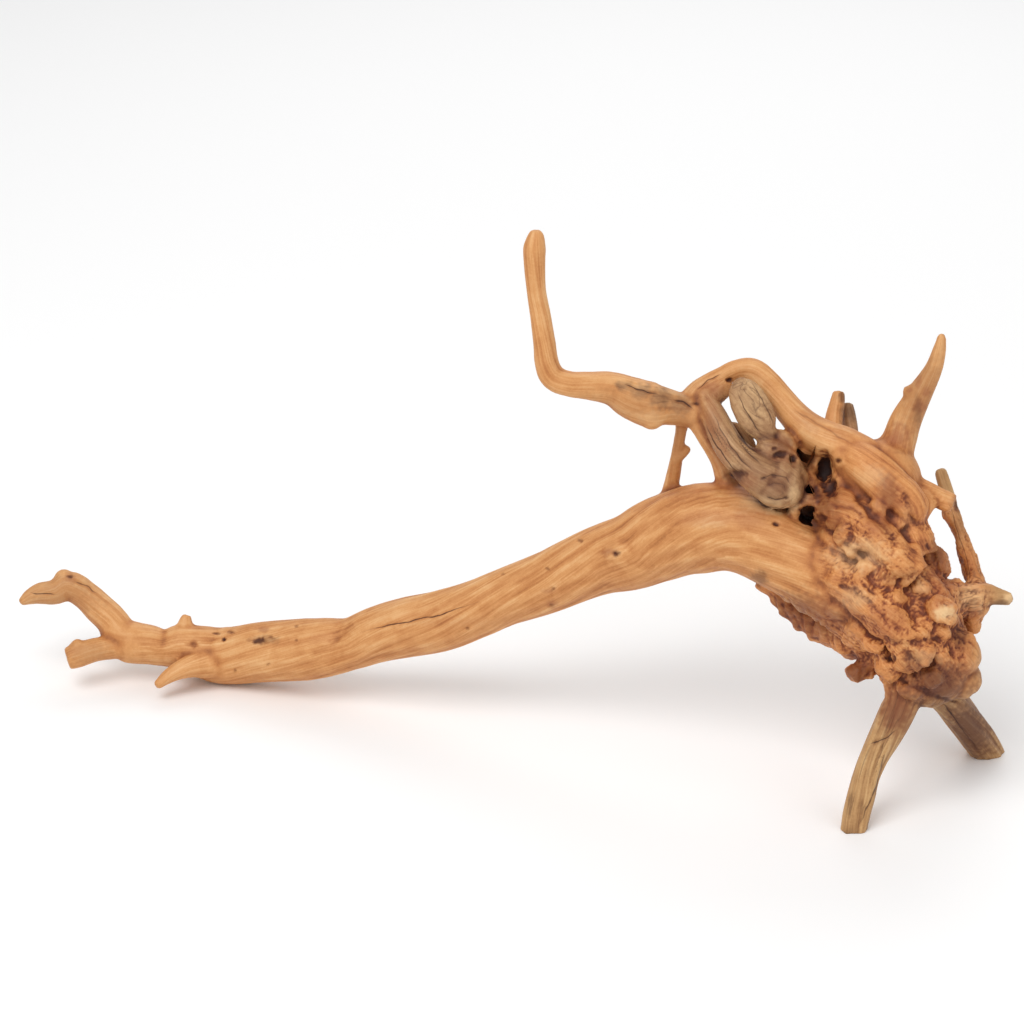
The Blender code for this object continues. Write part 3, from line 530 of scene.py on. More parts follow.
# Between these values of their noise the knotty places and the checked ones fade in
KNOTTY = (-0.25, 0.35)
CHECKED = (-0.1, 0.5)

# Heights of the fine relief in millimetres
FIBRE_HEIGHT = 0.08
BAND_HEIGHT = 0.12
AGED_FIBRE_HEIGHT = 0.25
AGED_BAND_HEIGHT = 0.15
PIMPLE_HEIGHT = 0.45
GRIT_HEIGHT = 0.2
DARK_MARK_SINK = 0.3
# What the fibres and bands add to the streaks of the colour
FIBRE_STREAK = 0.4
BAND_STREAK = 0.5

# How the hollows are found, which the shader darkens as painted shade: rounds of spreading and
# gain, for narrow and for wide ones
NARROW_HOLLOWS = (4, 2.0)
WIDE_HOLLOWS = (40, 0.28)
LOWEST_CAVITY = -0.3
# Painted shade in the hollows, laid in a dark red: how deep a hollow is when it starts and is full,
# and how strong it is: on smooth wood, what the burl adds, and the share of both that shows
RED_DEPTH = (0.05, 0.6)
RED_HOLLOW_SHADE = 0.35
RED_HOLLOW_SHADE_ON_BURL = 0.65
RED_HOLLOW_SHADE_SHARE = 0.65

# The crown's rough burl, as the eye sees it
CROWN_MIDDLE = np.array((196.0, -42.0))
CROWN_REACH = np.array((44.0, 54.0))
CROWN_EDGE = (1.12, 0.8)

# Smooth bands that run over the burl: half width and points u, v
SMOOTH_BANDS = [
    (9, [(128, -16), (146, -27), (158, -38), (168, -49)]),
    (11, [(150, 38), (166, 28), (178, 12), (184, 2)]),
    (5.5, [(178, 11), (186, 1), (197, -7), (203, -15), (202, -22)]),
    (8, [(205, 4), (206, 2)]),
    (7, [(166, -18), (176, -22)]),
]
# Where a band's edge starts and is full, in half widths, and how much of the burl is left on it
BAND_EDGE = (1.3, 0.6)
BURL_ON_BANDS = 0.3

# Where the root below the branch is ribbed: middle and reach
RIBS_MIDDLE = np.array((146.0, -51.0))
RIBS_REACH = np.array((30.0, 17.0))
RIBS_EDGE = (1.1, 0.7)
# The line of the branch's lower edge above it: a point, and its slope
UNDERSIDE = (120.0, -34.0)
UNDERSIDE_SLOPE = -0.55
UNDERSIDE_EDGE = (-4.0, 4.0)

# Plates of old grey wood, and where their edge starts and is full, in half sizes
GREY_PLATES = ("weathered_flap", "strap_lobe")
PLATE_EDGE = (1.35, 0.95)

# Half the height of the band of faces in which a seam runs, how far a fork's cut reaches past
# its radius, and the fewest faces of a length
SEAM_BAND = 1.8
SEAM_MARGIN = 1.0
SMALLEST_LENGTH = 60
# How far below the skin the ends at the forks are closed, in metres
CAP_DEPTH = 0.0008

# The floor, and how far it lies under the wood
FLOOR_SIZE = 3.0
FLOOR_GAP = 0.0002

# The camera's sensor, and the width in millimetres that it takes in at the drawing's origin
SENSOR = 36.0
DRAWING_WIDTH = 512.0
NEAREST_SEEN = 0.01
FARTHEST_SEEN = 20.0

# Studio lights: place, size and power
LIGHT_AIM = (0.0, 0.0, 0.12)
LIGHTS = {
    "key": ((-0.7, -1.0, 1.9), 1.3, 26.0),
    "fill": ((1.5, -1.3, 0.9), 1.5, 7.0),
    "back": ((0.3, 1.5, 1.4), 1.2, 8.0),
}
WORLD_STRENGTH = 0.6


def turn(direction):
    """A direction of the drawing, turned into the frame's axes."""
    u, v, w = direction
    return Vector((u, v * SINE - w * COSINE, v * COSINE + w * SINE))


def place(point):
    """A point of the drawing in metres, nearer points being drawn larger than they are."""
    u, v, w = point
    scale = 1 - w / EYE_DISTANCE
    return (turn((u * scale, v * scale, w)) + ORIGIN) * MM


def real(size, w):
    """A length drawn at depth w, in metres."""
    return size * (1 - w / EYE_DISTANCE) * MM


def drawn(points):
    """Points of the frame in millimetres as rows of u, v and w."""
    shifted = points - np.array(ORIGIN)
    up = shifted[:, 1] * SINE + shifted[:, 2] * COSINE
    near = shifted[:, 2] * SINE - shifted[:, 1] * COSINE
    scale = 1 - near / EYE_DISTANCE
    return np.stack((shifted[:, 0] / scale, up / scale, near), axis=1)


def smoothstep(low, high, value):
    """Nought up to low and 1 from high on, or the other way round where low is the higher."""
    t = np.clip((value - low) / (high - low), 0, 1)
    return t * t * (3 - 2 * t)


# Noise

def slope_table():
    """The order of the table's cells and a slope for each, the same in each run."""
    random = np.random.RandomState(TABLE_SEED)
    order = random.permutation(TABLE_SIZE)
    slopes = random.normal(size=(TABLE_SIZE, 3))
    slopes /= np.linalg.norm(slopes, axis=1)[:, None]
    return order, slopes


ORDER, SLOPES = slope_table()


def noise(points, stretch, seed):
    """Smooth noise from about -1 to 1 at each point, its features of these sizes along the axes."""
    spot = points / np.array(stretch, dtype=float) + seed * SEED_SPACING
    cell = np.floor(spot).astype(np.int64)
    inside = spot - cell
    ease = inside ** 3 * (inside * (inside * 6 - 15) + 10)
    total = np.zeros(len(points))
    for corner in np.ndindex(2, 2, 2):
        step = np.array(corner)
        key = (cell + step) % TABLE_SIZE
        chain = ORDER[key[:, 0]]
        chain = ORDER[(chain + key[:, 1]) % TABLE_SIZE]
        chain = ORDER[(chain + key[:, 2]) % TABLE_SIZE]
        rise = np.einsum("ij,ij->i", SLOPES[chain], inside - step)
        share = np.where(step == 1, ease, 1 - ease).prod(axis=1)
        total += share * rise
    return total * NOISE_GAIN


def billows(points, stretch, seed):
    """Round lumps of height up to 1 with sharp valleys between them."""
    return np.minimum(np.abs(noise(points, stretch, seed)) * BILLOW_GAIN, 1)


def shift(points, size, seeds):
    """A smooth random shift at each point, with one noise of this size for each seed."""
    return np.stack([noise(points, (size, size, size), seed) for seed in seeds], axis=1)


# The rough wood

def evaluated_mesh(obj):
    graph = bpy.context.evaluated_depsgraph_get()
    return bpy.data.meshes.new_from_object(obj.evaluated_get(graph))


def add_object(name, mesh):
    obj = bpy.data.objects.new(name, mesh)
    bpy.context.scene.collection.objects.link(obj)
    return obj


def limb_mesh(name, route):
    """A smooth tapering tube along a route."""
    curve = bpy.data.curves.new(name, "CURVE")
    curve.dimensions = "3D"
    curve.bevel_depth = MM
    curve.bevel_resolution = TUBE_ROUNDNESS
    curve.use_fill_caps = True
    curve.resolution_u = STEPS_BETWEEN_POINTS
    spline = curve.splines.new("BEZIER")
    spline.bezier_points.add(len(route) - 1)
    for point, (u, v, w, radius) in zip(spline.bezier_points, route):
        point.co = place((u, v, w))
        point.radius = real(radius + LOST_TO_SOFTENING, w) / MM
        point.handle_left_type = "AUTO"
        point.handle_right_type = "AUTO"
    tube = add_object(name, curve)
    mesh = evaluated_mesh(tube)
    bpy.data.objects.remove(tube)
    bpy.data.curves.remove(curve)
    return mesh


def add_ball(form, point, radius):
    size = Matrix.Scale(real(radius, point[2]), 4)
    matrix = Matrix.Translation(place(point)) @ size
    bmesh.ops.create_icosphere(form, subdivisions=BALL_DETAIL, radius=1.0, matrix=matrix)


def add_plate(form, middle, axis, half_length, half_width, half_depth):
    """A flattened ball whose long axis is drawn and whose thin one faces the eye."""
    long_axis = turn((axis[0], axis[1], 0)).normalized()
    wide_axis = TO_EYE.cross(long_axis)
    depth = middle[2]
    columns = (
        long_axis * real(half_length, depth),
        wide_axis * real(half_width, depth),
        TO_EYE * real(half_depth, depth),
    )
    shape = Matrix(columns).transposed().to_4x4()
    matrix = Matrix.Translation(place(middle)) @ shape
    bmesh.ops.create_icosphere(form, subdivisions=BALL_DETAIL, radius=1.0, matrix=matrix)


def rough_wood():
    """All limbs, lumps and plates, still overlapping, as one object."""
    form = bmesh.new()
    for name, route in list(LIMBS.items()) + [("peg", PEG)]:
        mesh = limb_mesh(name, route)
        form.from_mesh(mesh)
        bpy.data.meshes.remove(mesh)
    bmesh.ops.remove_doubles(form, verts=form.verts, dist=WELD_DISTANCE)
    for u, v, w, radius in LUMPS:
        add_ball(form, (u, v, w), radius)
    for plate in PLATES.values():
        add_plate(form, *plate)
    mesh = bpy.data.meshes.new("wood")
    form.to_mesh(mesh)
    form.free()
    return add_object("wood", mesh)


def apply_modifier(obj, kind, **settings):
    """Adds one modifier with these settings and keeps its result as the object's mesh."""
    modifier = obj.modifiers.new(kind.lower(), kind)
    for name, value in settings.items():
        setattr(modifier, name, value)
    mesh = evaluated_mesh(obj)
    obj.modifiers.clear()
    spent = obj.data
    obj.data = mesh
    bpy.data.meshes.remove(spent)


def fuse(obj, grid, rounds):
    apply_modifier(obj, "REMESH", mode="VOXEL", voxel_size=grid * MM)
    apply_modifier(obj, "SMOOTH", factor=SOFTENING, iterations=rounds)


# The skin's points as arrays

def points_of(mesh):
    """The mesh's points in millimetres."""
    flat = np.empty(len(mesh.vertices) * 3)
    mesh.vertices.foreach_get("co", flat)
    return flat.reshape(-1, 3) / MM


def normals_of(mesh):
    flat = np.empty(len(mesh.vertices) * 3)
    mesh.vertex_normals.foreach_get("vector", flat)
    return flat.reshape(-1, 3)


def set_points(mesh, points):
    mesh.vertices.foreach_set("co", (points * MM).ravel())
    mesh.update()


def edges_of(mesh):
    flat = np.empty(len(mesh.edges) * 2, dtype=np.int64)
    mesh.edges.foreach_get("vertices", flat)
    return flat.reshape(-1, 2)


def spread(values, edges, rounds):
    """Values at the points, each round replaced by the mean of the neighbours' values."""
    count = len(values)
    ends = np.concatenate((edges[:, 0], edges[:, 1]))
    starts = np.concatenate((edges[:, 1], edges[:, 0]))
    neighbours = np.maximum(np.bincount(ends, minlength=count), 1)
    for _ in range(rounds):
        columns = [
            np.bincount(ends, weights=column[starts], minlength=count) / neighbours
            for column in values.T
        ]
        values = np.stack(columns, axis=1)
    return values


def hollow(points, normals, edges, rounds):
    """How far each point lies below its surroundings, in millimetres."""
    return np.einsum("ij,ij->i", spread(points, edges, rounds) - points, normals)


# The grain of the limbs

def rounded(rows):
    """A route's rows with more between them, on a Catmull-Rom curve through them."""
    padded = np.vstack((2 * rows[0] - rows[1], rows, 2 * rows[-1] - rows[-2]))
    curve = []
    for k in range(1, len(rows)):
        a, b, c, d = padded[k - 1:k + 3]
        for t in np.arange(STEPS_IN_GRAIN) / STEPS_IN_GRAIN:
            curve.append(0.5 * (2 * b + (c - a) * t + (2 * a - 5 * b + 4 * c - d) * t ** 2
                                + (3 * b - a - 3 * c + d) * t ** 3))
    curve.append(rows[-1])
    return np.array(curve)


def limb_axes(route):
    """A limb's points, radii, lengths so far, and its two directions across, in millimetres."""
    rows = rounded(np.array(route, dtype=float))
    spots = np.array([place(row[:3]) for row in rows]) / MM
    radii = np.array([real(row[3], row[2]) for row in rows]) / MM
    steps = np.linalg.norm(np.diff(spots, axis=0), axis=1)
    along = np.concatenate(([0], np.cumsum(steps)))
    ways = np.gradient(spots, axis=0)
    ways /= np.linalg.norm(ways, axis=1)[:, None]
    sides = np.cross(np.array(TO_EYE), ways)
    sides /= np.linalg.norm(sides, axis=1)[:, None]
    lifts = np.cross(ways, sides)
    return spots, radii, along, sides, lifts


def limb_grain(points, route, seed):
    """For each point its distance outside the limb and its place in the limb's grain."""
    spots, radii, along, sides, lifts = limb_axes(route)
    nearest = np.full(len(points), np.inf)
    away = np.full(len(points), np.inf)
    grain = np.zeros((len(points), 3))
    usual = radii.mean()
    for k in range(len(spots) - 1):
        step = spots[k + 1] - spots[k]
        share = np.clip((points - spots[k]) @ step / (step @ step), 0, 1)
        offset = points - spots[k] - share[:, None] * step
        radius = radii[k] + share * (radii[k + 1] - radii[k])
        distance = np.linalg.norm(offset, axis=1)
        closer = distance < away
        part = share[closer, None]
        side = sides[k] + part * (sides[k + 1] - sides[k])
        lift = lifts[k] + part * (lifts[k + 1] - lifts[k])
        stretch = usual / radius[closer]
        length = along[k] + share[closer] * (along[k + 1] - along[k])
        across = np.einsum("ij,ij->i", offset[closer], side) * stretch
        upward = np.einsum("ij,ij->i", offset[closer], lift) * stretch
        turned = length * GRAIN_TWIST
        grain[closer, 0] = across * np.cos(turned) - upward * np.sin(turned)
        grain[closer, 1] = across * np.sin(turned) + upward * np.cos(turned)
        grain[closer, 2] = length
        away[closer] = distance[closer]
        nearest[closer] = distance[closer] - radius[closer]
    grain[:, 0] += seed * GRAIN_SPACING
    return nearest, grain


def kind_of(name):
    """The number of the kind of wood that a limb is of."""
    for kind, names in (("worn", WORN), ("burl", BURL), ("dull", DULL)):
        if name in names:
            return KINDS.index(kind)
    return KINDS.index("peeled")


class Grain:
    """The grain of the two nearest limbs at each point, and the kinds of wood there."""

    def __init__(self, points):
        count = len(points)
        self.away = np.full((count, 2), NO_LIMB)
        self.grain = np.zeros((2, count, 3))
        kinds = np.zeros((count, len(KINDS)))
        for seed, (name, route) in enumerate(LIMBS.items()):
            spots, radii = limb_axes(route)[:2]
            reach = GRAIN_REACH + radii.max()
            low = spots.min(axis=0) - reach
            high = spots.max(axis=0) + reach
            near = np.nonzero(np.all((points > low) & (points < high), axis=1))[0]
            away, grain = limb_grain(points[near], route, seed)
            kinds[near, kind_of(name)] += np.exp(-np.clip(away, *KIND_REACH) / KIND_BLEND)
            self.take(near, away, grain)
        self.kinds = kinds / np.maximum(kinds.sum(axis=1), TINY)[:, None]
        gap = self.away[:, 1] - self.away[:, 0]
        self.second_share = 0.5 * np.exp(-gap / GRAIN_BLEND)
        self.hold = smoothstep(HOLD_START, HOLD_FULL, gap)

    def take(self, near, away, grain):
        """Puts a limb's grain among the two nearest where it belongs."""
        first = away < self.away[near, 0]
        second = ~first & (away < self.away[near, 1])
        won = near[first]
        self.away[won, 1] = self.away[won, 0]
        self.grain[1, won] = self.grain[0, won]
        self.away[won, 0] = away[first]
        self.grain[0, won] = grain[first]
        lost = near[second]
        self.away[lost, 1] = away[second]
        self.grain[1, lost] = grain[second]

    def share(self, kind):
        """How much of this kind the wood is at each point, from 0 to 1."""
        return self.kinds[:, KINDS.index(kind)]

    def read(self, pattern):
        """A pattern of the grain at each point, blended between the two limbs."""
        share = self.second_share
        value = pattern(self.grain[0]) * (1 - share)
        both = share > LEAST_SHARE
        value[both] += pattern(self.grain[1][both]) * share[both]
        return value


# The marks

def route_distance(spots, route):
    """For each drawn spot its distance from the route's line, how far along, and its side."""
    nearest = np.full(len(spots), np.inf)
    along = np.zeros(len(spots))
    side = np.ones(len(spots))
    steps = len(route) - 1
    for k in range(steps):
        start = np.array(route[k], dtype=float)
        step = np.array(route[k + 1], dtype=float) - start
        share = np.clip((spots - start) @ step / (step @ step), 0, 1)
        offset = spots - start - share[:, None] * step
        distance = np.linalg.norm(offset, axis=1)
        closer = distance < nearest
        nearest[closer] = distance[closer]
        along[closer] = (k + share[closer]) / steps
        turned = step[0] * offset[closer, 1] - step[1] * offset[closer, 0]
        side[closer] = np.where(turned < 0, -1, 1)
    return nearest, along, side


def ends_taper(along, reach):
    """Nought at both ends of a mark, rising to 1 over this share of its length."""
    return smoothstep(0, reach, along) * smoothstep(1, 1 - reach, along)


def thinned(least, taper):
    """What is left of a width or depth: all of it along the mark, the least at its ends."""
    return least + (1 - least) * taper


class Marks:
    """Depth, darkness and tints of the marks that the eye sees on the front of the wood, with painted
    shade and painted highlight among the tints.
    """

    def __init__(self, points, normals):
        spots = drawn(points)
        wander = shift(points, *WANDER)
        fine = shift(points, *FINE_WANDER)
        self.spots = spots[:, :2] + wander * WANDER_REACH + fine * FINE_WANDER_REACH
        self.calm = spots[:, :2] + wander * CALM_REACH
        self.faces_eye = smoothstep(*FACING, normals @ np.array(TO_EYE))
        self.ragged = noise(points, *RAGGED)
        self.crumbs = noise(points, *CRUMBS)
        self.depth = np.zeros(len(points))
        self.dark = np.zeros(len(points))
        self.crack = np.full(len(points), FAR_FROM_CRACK)
        self.crack_dark = np.zeros(len(points))
        for groove in GROOVES:
            if groove[0] < WIDEST_CRACK:
                self.draw_crack(*groove)
            else:
                self.cut_groove(*groove)
        for hole in HOLES:
            self.sink_hole(*hole)
        for knob in KNOBS:
            self.raise_knob(*knob)

    def near(self, low, high):
        """The points whose spots lie in a box and that face the eye."""
        inside = np.all((self.spots > low) & (self.spots < high), axis=1)
        return np.nonzero(inside & (self.faces_eye > 0))[0]

    def cut_groove(self, width, depth, darkness, route):
        """A groove with a ragged edge, narrower and shallower towards its ends."""
        corners = np.array(route, dtype=float)
        margin = width * GROOVE_MARGIN
        near = self.near(corners.min(axis=0) - margin, corners.max(axis=0) + margin)
        distance, along, _ = route_distance(self.spots[near], route)
        taper = ends_taper(along, GROOVE_TAPER)
        half = width * (GROOVE_HALF + GROOVE_RAGGEDNESS * self.ragged[near])
        half = np.maximum(half * thinned(GROOVE_END_WIDTH, taper), LEAST_GROOVE)
        shape = np.exp(-(distance / half) ** 2) * thinned(GROOVE_END_DEPTH, taper)
        shape *= self.faces_eye[near]
        self.depth[near] = np.maximum(self.depth[near], depth * shape)
        self.dark[near] = np.maximum(self.dark[near], darkness * shape)

    def draw_crack(self, width, depth, darkness, route):
        """A crack finer than the skin's faces, kept as each point's signed distance from it."""
        corners = np.array(route, dtype=float)
        low = corners.min(axis=0) - CRACK_MARGIN
        high = corners.max(axis=0) + CRACK_MARGIN
        near = self.near(low, high)
        distance, along, side = route_distance(self.calm[near], route)
        taper = ends_taper(along, CRACK_TAPER)
        half = width * (CRACK_HALF + CRACK_RAGGEDNESS * self.ragged[near])
        half = np.maximum(half * thinned(CRACK_END_WIDTH, taper), LEAST_CRACK)
        strength = smoothstep(*CRACK_FADE, distance) * thinned(CRACK_END_DEPTH, taper)
        strength *= self.faces_eye[near]
        stronger = strength * darkness > self.crack_dark[near]
        won = near[stronger]
        self.crack[won] = (side * distance / half)[stronger]
        self.crack_dark[won] = (strength * darkness)[stronger]
        self.depth[near] = np.maximum(self.depth[near], depth * strength * np.exp(-distance ** 2))

    def oval(self, u, v, half_width, half_height):
        """The points near an oval, and how far each is from its middle in half sizes."""
        reach = np.array((half_width, half_height)) * OVAL_REACH
        near = self.near((u, v) - reach, (u, v) + reach)
        offset = (self.spots[near] - (u, v)) / (half_width, half_height)
        return near, np.linalg.norm(offset, axis=1)

    def sink_hole(self, u, v, half_width, half_height, depth, darkness):
        """A hollow with a ragged, crumbling rim."""
        near, away = self.oval(u, v, half_width, half_height)
        away += HOLE_RAGGEDNESS * self.ragged[near] + HOLE_CRUMBLING * self.crumbs[near]
        dip = depth * smoothstep(*HOLE_EDGE, away) * self.faces_eye[near]
        shadow = darkness * smoothstep(*HOLE_SHADE_EDGE, away) * self.faces_eye[near]
        self.depth[near] = np.maximum(self.depth[near], dip)
        self.dark[near] = np.maximum(self.dark[near], shadow)

    def raise_knob(self, u, v, radius, height):
        """A round swelling, kept as a depth below nought."""
        near, away = self.oval(u, v, radius, radius)
        self.depth[near] -= height * smoothstep(*KNOB_EDGE, away) * self.faces_eye[near]

    def tint(self, kind):
        """The strength of one kind of tint at each point; among the tints are painted shade and
        painted highlight.
        """
        strength = np.zeros(len(self.dark))
        for u, v, half_width, half_height, amount in TINTS[kind]:
            near, away = self.oval(u, v, half_width, half_height)
            away += TINT_RAGGEDNESS * self.ragged[near]
            shape = amount * smoothstep(*TINT_EDGE, away) * self.faces_eye[near]
            strength[near] = np.maximum(strength[near], shape)
        return strength


# Carving

def carve(obj):
    """The deep relief: burl folds, ribs, flutes and the marks' hollows."""
    mesh = obj.data
    points = points_of(mesh)
    normals = normals_of(mesh)
    grain = Grain(points)
    marks = Marks(points, normals)
    warp = shift(points, *FOLD_WARP)
    folds = grain.read(lambda spot: billows(spot, *FOLDS))
    knots = billows(points + warp * KNOT_BEND, *KNOTS)
    lumpy = billows(points + warp * LUMPY_BEND, *LUMPY)
    flutes = grain.read(lambda spot: noise(spot, *FLUTES))
    narrow = grain.read(lambda spot: noise(spot, *NARROW_FLUTES))
    swell = grain.read(lambda spot: noise(spot, *SWELL))
    patches = smoothstep(*KNOTTY, noise(points, *KNOT_PATCHES))
    dull = grain.share("dull")
    rise = flutes * (FLUTE_HEIGHT + DULL_FLUTE_HEIGHT * dull)
    rise += swell * SWELL_HEIGHT + narrow * dull * DULL_NARROW_HEIGHT
    knotted = KNOT_HEIGHT * (knots - BILLOW_MEAN) + LUMPY_HEIGHT * (lumpy - BILLOW_MEAN)
    crown = np.maximum(crown_share(points), BURL_SHARE * grain.share("burl"))
    rise += crown * (FOLD_HEIGHT * (folds - BILLOW_MEAN) + patches * knotted)
    ribs = billows(drawn(points) * RIB_SQUEEZE + warp * RIB_BEND, *RIBS)
    ribbed = RIB_HEIGHT * (ribs - RIB_MEAN) + RIB_LUMPY_HEIGHT * (lumpy - BILLOW_MEAN)
    rise += ribbed_share(points) * ribbed
    sideways = shift(points, *CROWN_SHIFT) * CROWN_SHIFT_REACH
    sideways += shift(points, *WIDE_CROWN_SHIFT) * WIDE_CROWN_SHIFT_REACH
    sideways *= crown_reach(points)[:, None]
    set_points(mesh, points + sideways + normals * (rise - marks.depth)[:, None])


def crown_reach(points):
    """How much each point belongs to the crown, smooth bands and all, from 0 to 1."""
    inward = (drawn(points)[:, :2] - CROWN_MIDDLE) / CROWN_REACH
    return smoothstep(*CROWN_EDGE, np.linalg.norm(inward, axis=1))


def crown_share(points):
    """How much of the crown's rough burl there is at each point, from 0 to 1."""
    spots = drawn(points)[:, :2]
    share = crown_reach(points)
    for half_width, route in SMOOTH_BANDS:
        away = route_distance(spots, route)[0]
        share *= 1 - (1 - BURL_ON_BANDS) * smoothstep(*BAND_EDGE, away / half_width)
    return share


def ribbed_share(points):
    """How much each point belongs to the ribbed root below the branch, from 0 to 1."""
    inward = (drawn(points)[:, :2] - RIBS_MIDDLE) / RIBS_REACH
    below = smoothstep(*UNDERSIDE_EDGE, branch_underside(points))
    return smoothstep(*RIBS_EDGE, np.linalg.norm(inward, axis=1)) * below


def branch_underside(points):
    """How far each drawn point lies below the branch's lower edge there."""
    spots = drawn(points)
    edge = UNDERSIDE[1] + UNDERSIDE_SLOPE * (spots[:, 0] - UNDERSIDE[0])
    return edge - spots[:, 1]


def finish_skin(obj):
    """The fine relief, and all that the shader reads, kept as attributes of the points."""
    mesh = obj.data
    points = points_of(mesh)
    normals = normals_of(mesh)
    edges = edges_of(mesh)
    grain = Grain(points)
    marks = Marks(points, normals)
    rough = crown_share(points)
    worn = np.maximum.reduce((grain.share("worn"), marks.tint("worn"), plate_share(points)))
    aged = np.maximum(worn, grain.share("dull"))
    fibres = grain.read(lambda spot: noise(spot, *FIBRES))
    bands = grain.read(lambda spot: noise(spot, *BANDS))
    patches = smoothstep(*CHECKED, noise(points, *AGED_PATCHES))
    pimples = billows(points + shift(points, *PIMPLE_WARP) * PIMPLE_BEND, *PIMPLES)
    rise = FIBRE_HEIGHT * fibres + BAND_HEIGHT * bands
    rise += aged * (AGED_FIBRE_HEIGHT * fibres + AGED_BAND_HEIGHT * bands)
    rise += rough * (PIMPLE_HEIGHT * (pimples - BILLOW_MEAN) + GRIT_HEIGHT * noise(points, *GRIT))
    rise -= DARK_MARK_SINK * marks.depth * marks.dark
    points = points + normals * rise[:, None]
    set_points(mesh, points)
    normals = normals_of(mesh)
    # How deep each point lies in a hollow; the shader paints shade there, darker in tone and redder
    cavity = np.zeros(len(points))
    for rounds, gain in (NARROW_HOLLOWS, WIDE_HOLLOWS):
        cavity += hollow(points, normals, edges, rounds) * gain
    cavity = np.clip(cavity, LOWEST_CAVITY, 1)
    # Painted shade in the hollows, in dark red, stronger on the burl
    red_hollow_shade = (RED_HOLLOW_SHADE + RED_HOLLOW_SHADE_ON_BURL * rough) * smoothstep(*RED_DEPTH, cavity)
    keep(mesh, "grain", grain.grain[0])
    keep(mesh, "hold", grain.hold)
    keep(mesh, "streak", BAND_STREAK * bands + FIBRE_STREAK * fibres)
    keep(mesh, "cavity", cavity)
    # The dark and red tints hold painted shade low on the piece besides the stains, the red also the
    # shade painted into the hollows; the pale tint is partly pale wood and partly painted highlight
    keep(mesh, "dark", np.maximum(marks.dark, marks.tint("dark")))
    keep(mesh, "tan", marks.tint("tan"))
    keep(mesh, "pale", marks.tint("pale"))
    keep(mesh, "red", np.maximum(marks.tint("red"), red_hollow_shade * RED_HOLLOW_SHADE_SHARE))
    keep(mesh, "check", grain.read(lambda spot: noise(spot, *CHECKS)))
    keep(mesh, "aged", aged * patches)
    keep(mesh, "crack", marks.crack)
    keep(mesh, "crack_dark", marks.crack_dark)
    keep(mesh, "worn", worn)
    keep(mesh, "rough", np.maximum(rough, grain.share("burl")))
    keep(mesh, "dull", grain.share("dull"))


def plate_share(points):
    """How much each point belongs to the old grey plates, from 0 to 1."""
    spots = drawn(points)
    share = np.zeros(len(points))
    for name in GREY_PLATES:
        middle, axis, half_length, half_width, half_depth = PLATES[name]
        way = np.array(axis, dtype=float)
        way /= np.linalg.norm(way)
        offset = spots - middle
        along = offset[:, :2] @ way / half_length
        across = offset[:, :2] @ np.array((-way[1], way[0])) / half_width
        depth = offset[:, 2] / (half_depth * 2)
        away = np.sqrt(along ** 2 + across ** 2 + depth ** 2)
        share = np.maximum(share, smoothstep(*PLATE_EDGE, away))
    return share


def keep(mesh, name, values):
    """Stores a number or a direction at each point under a name that the shader reads."""
    kind = "FLOAT" if values.ndim == 1 else "FLOAT_VECTOR"
    field = "value" if values.ndim == 1 else "vector"
    attribute = mesh.attributes.new(name, kind, "POINT")
    attribute.data.foreach_set(field, values.astype(np.float32).ravel())


# Parting the skin at the forks

def cut_planes():
    """Each cut as its middle, normal, and the test of what lies within its face, in millimetres."""
    planes = []
    for middle, axis, radius in FORK_CUTS.values():
        spot = np.array(place(middle)) / MM
        normal = np.array(turn(axis).normalized())
        reach = real(radius, middle[2]) / MM + SEAM_MARGIN
        planes.append((spot, normal, round_face(spot, reach)))
    for middle, axis, half_long, half_deep in FLAT_CUTS.values():
        spot = np.array(place(middle)) / MM
        normal = turn(axis).normalized()
        across = np.array(TO_EYE.cross(normal))
        planes.append((spot, np.array(normal), flat_face(spot, across, half_long, half_deep)))
    return planes


def round_face(spot, radius):
    return lambda points: np.linalg.norm(points - spot, axis=1) < radius


def flat_face(spot, across, half_long, half_deep):
    def within(points):
        offset = points - spot
        wide = np.abs(offset @ across) < half_long
        return wide & (np.abs(offset @ np.array(TO_EYE)) < half_deep)
    return within


def seam_edges(mesh):
    """Numbers of the edges along which the skin is parted."""
    count = len(mesh.polygons)
    centres = np.empty(count * 3)
    mesh.polygons.foreach_get("center", centres)
    centres = centres.reshape(-1, 3) / MM
    pairs = np.full((len(mesh.edges), 2), -1, dtype=np.int64)
    loop_edges = np.empty(len(mesh.loops), dtype=np.int64)
    mesh.loops.foreach_get("edge_index", loop_edges)
    totals = np.empty(count, dtype=np.int64)
    mesh.polygons.foreach_get("loop_total", totals)
    loop_faces = np.repeat(np.arange(count), totals)
    order = np.argsort(loop_edges, kind="stable")
    sorted_edges = loop_edges[order]
    first = np.concatenate(([True], sorted_edges[1:] != sorted_edges[:-1]))
    pairs[sorted_edges[first], 0] = loop_faces[order][first]
    second = ~first
    pairs[sorted_edges[second], 1] = loop_faces[order][second]
    shared = pairs.min(axis=1) >= 0
    a, b = pairs[:, 0], pairs[:, 1]
    seam = np.zeros(len(pairs), dtype=bool)
    for spot, normal, within in cut_planes():
        height = (centres - spot) @ normal
        close = (np.abs(height) < SEAM_BAND) & within(centres)
        seam |= shared & close[a] & close[b] & (height[a] * height[b] <= 0)
    group = face_groups(count, pairs[shared & ~seam])
    join_patches(group, pairs[seam])
    return np.nonzero(seam & (group[a] != group[b]))[0]


def face_groups(count, pairs):
    """A number for each face, the same for all faces that the pairs join."""
    group = np.arange(count)
    while True:
        before = group.copy()
        lower = np.minimum(group[pairs[:, 0]], group[pairs[:, 1]])
        for side in (0, 1):
            np.minimum.at(group, before[pairs[:, side]], lower)
            np.minimum.at(group, pairs[:, side], lower)
        group = group[group]
        if np.array_equal(group, before):
            return group


